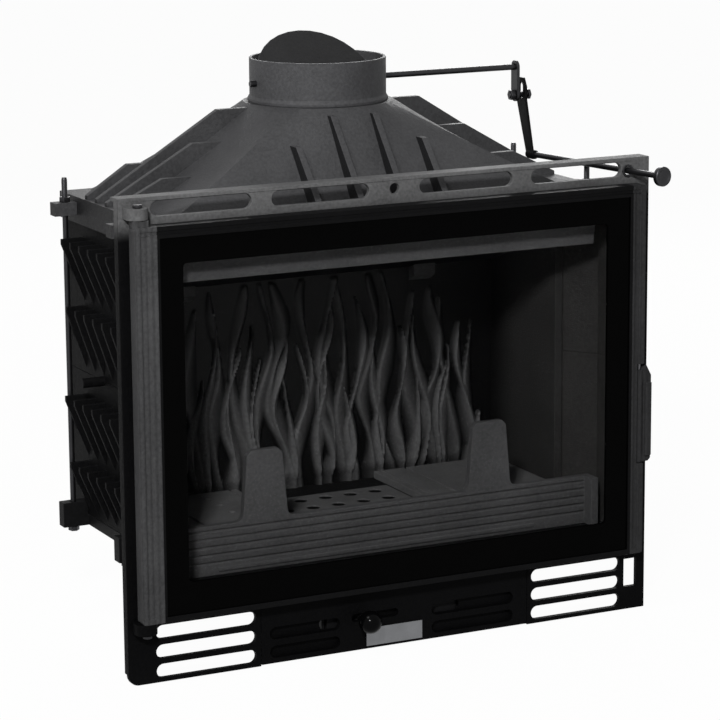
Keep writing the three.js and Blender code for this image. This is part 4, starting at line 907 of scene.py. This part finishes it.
shaft_low, shaft_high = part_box("damper_shaft")
shaft_end = Vector((shaft_low.x, (shaft_low.y + shaft_high.y) / 2, (shaft_low.z + shaft_high.z) / 2))
shaft = rod_rows(0, (shaft_high.x - shaft_low.x) / MM, ROD_RADIUS)
place_piece("shaft_turned", turned(shaft, shaft_end, (1, 0, 0), 28), "damper_shaft")

rod_rear = -((ROD_REAR_DEPTH - ROD_DEPTH) / math.cos(math.radians(ROD_TURN)) - 0.3)
rod = rod_rows(rod_rear, ROD_FRONT, ROD_RADIUS)
place_piece("rod_turned", turned(rod, ROD_START, ROD_SIDE, 28), "pull_rod")

knob = [(0, KNOB_REAR, False), (8.5, KNOB_REAR, False)] + arc(11, 68.8, 2, -80, 0) + arc(11, 73, 2, 0, 90)
knob += [(9.8, 74.6, False), (8.6, 73.4, False), (6.5, 72.6, False), (3, 72.3, False), (0, 72.3, False)]
place_piece("pull_knob_turned", turned(knob, ROD_START, ROD_SIDE, 48), "pull_knob")

ball_centre = at(-51, -25, 45)
ball = [(0, -12, False), (6.5, -12, False), (7.6, -11.6, False)]
ball += arc(0, 0, BALL_RADIUS, -50, 90, 26)[:-1] + [(0, BALL_RADIUS, False)]
place_piece("ball_knob_turned", turned(ball, ball_centre, (0, -1, 0), 48), "shutter_knob")

stem_low, stem_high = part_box("shutter_stem")
stem_rear = Vector(((stem_low.x + stem_high.x) / 2, stem_high.y, (stem_low.z + stem_high.z) / 2))
stem = rod_rows(0, (stem_high.y - stem_low.y) / MM, STEM_RADIUS)
place_piece("stem_turned", turned(stem, stem_rear, (0, -1, 0), 28), "shutter_stem")

SCREW = [(0, 0, False), (4.6, 0, False)] + arc(3.2, 0.6, 1.4, 0, 80, 5)
SCREW += [(2.0, 2.0, True), (1.7, 1.9, True), (1.7, 0.8, True), (0, 0.8, True)]
SCREW_DEPTH = -4
frame_screws = [(x, z) for z in (103.5, 553.5) for x in (-270, -90, 90, 272)]
frame_screws += [(x, z) for x in (-318.5, 320.5) for z in (250, 410)]
for i, (x, z) in enumerate(frame_screws):
    screw = turned(SCREW, at(x, SCREW_DEPTH, z), (0, 1, 0), 24)
    place_piece(f"frame_screw_{i + 1}", screw, "inner_door_frame", STEEL_DARK, replaces=False)


# Studio -----------------------------------------------------------------------

WHITE = (1, 1, 1, 1)
FLOOR_HALF, FLOOR_DROP = 30, 0.0005  # metres
FLOOR_COLOUR, FLOOR_SEEN = (0.6, 0.6, 0.6), 0.97
WORLD_LEVEL = 0.09
CAMERA_PLACE = (-1.7069, -3.4687, 1.1756)
CAMERA_TURNS = (26.395, 11.999, -0.443)  # degrees of yaw, pitch and roll
CAMERA_LENS, CAMERA_SENSOR, CAMERA_FAR = 150.5, 36, 100
SOFTBOXES = [
    # name, place, aim, size and watts
    ("top_softbox", (-1.5, -0.7, 2.8), (0, 0, 0.6), (0.9, 0.9), 40),
    ("key_softbox", (-1.9, -2.9, 2.2), (0, 0, 0.3), (0.4, 0.4), 152),
    ("rear_softbox", (1.6, 2.6, 1.8), (0, 0, 0.5), (1.4, 1.4), 45),
]


def add_seen_rays(tree, rays):
    """1 for the rays that show the background: straight, mirrored and through glass."""
    seen = rays.outputs["Is Camera Ray"]
    for kind in ("Is Glossy Ray", "Is Transmission Ray"):
        seen = add_math(tree, "MAXIMUM", seen, rays.outputs[kind])
    return seen


def pale_material(name, colour, seen):
    """A pale surface that the camera sees nearly white while it keeps the object's shadow."""
    material, tree, shader = new_material(name)
    shader.inputs["Base Color"].default_value = (*colour, 1)
    shader.inputs["Roughness"].default_value = 0.9
    shader.inputs["Specular IOR Level"].default_value = 0.1
    rays = tree.nodes.new("ShaderNodeLightPath")
    glow = tree.nodes.new("ShaderNodeEmission")
    mix = tree.nodes.new("ShaderNodeMixShader")
    share = add_math(tree, "MULTIPLY", add_seen_rays(tree, rays), seen)
    tree.links.new(share, mix.inputs["Fac"])
    tree.links.new(shader.outputs["BSDF"], mix.inputs[1])
    tree.links.new(glow.outputs["Emission"], mix.inputs[2])
    glow.inputs["Color"].default_value = WHITE
    tree.links.new(mix.outputs["Shader"], tree.nodes["Material Output"].inputs["Surface"])
    return material


def studio_floor():
    bm = bmesh.new()
    bmesh.ops.create_grid(bm, x_segments=1, y_segments=1, size=FLOOR_HALF)
    mesh = bpy.data.meshes.new("studio_floor")
    bm.to_mesh(mesh)
    bm.free()
    mesh.transform(Matrix.Translation((0, 0, -FLOOR_DROP)))
    mesh.materials.append(pale_material("studio_white", FLOOR_COLOUR, FLOOR_SEEN))
    floor = bpy.data.objects.new("studio_floor", mesh)
    bpy.context.scene.collection.objects.link(floor)


def studio_world(level):
    world = bpy.data.worlds.new("studio")
    bpy.context.scene.world = world
    world.use_nodes = True
    tree = world.node_tree
    background = tree.nodes["Background"]
    background.inputs["Color"].default_value = WHITE
    rays = tree.nodes.new("ShaderNodeLightPath")
    spread = tree.nodes.new("ShaderNodeMapRange")
    spread.inputs["To Min"].default_value = level
    spread.inputs["To Max"].default_value = 1
    tree.links.new(add_seen_rays(tree, rays), spread.inputs["Value"])
    tree.links.new(spread.outputs["Result"], background.inputs["Strength"])


def softbox(name, place, aim, size, power):
    data = bpy.data.lights.new(name, "AREA")
    data.shape = "RECTANGLE"
    data.size, data.size_y = size
    data.energy = power
    lamp = bpy.data.objects.new(name, data)
    lamp.location = place
    lamp.rotation_euler = (Vector(aim) - Vector(place)).to_track_quat("-Z", "Y").to_euler()
    bpy.context.scene.collection.objects.link(lamp)


def photo_camera():
    yaw, pitch, roll = (math.radians(turn) for turn in CAMERA_TURNS)
    forward = Vector((math.sin(yaw) * math.cos(pitch), math.cos(yaw) * math.cos(pitch), -math.sin(pitch)))
    level = Vector((math.cos(yaw), -math.sin(yaw), 0))
    above = level.cross(forward)
    right = math.cos(roll) * level + math.sin(roll) * above
    up = -math.sin(roll) * level + math.cos(roll) * above
    data = bpy.data.cameras.new("photo_camera")
    data.lens = CAMERA_LENS
    data.sensor_width = CAMERA_SENSOR
    data.clip_end = CAMERA_FAR
    camera = bpy.data.objects.new("photo_camera", data)
    place = Matrix((right, up, -forward)).transposed().to_4x4()
    place.translation = Vector(CAMERA_PLACE)
    camera.matrix_world = place
    bpy.context.scene.collection.objects.link(camera)
    bpy.context.scene.camera = camera


studio_floor()
studio_world(WORLD_LEVEL)
for box in SOFTBOXES:
    softbox(*box)
photo_camera()
bpy.context.scene.view_settings.view_transform = "Standard"
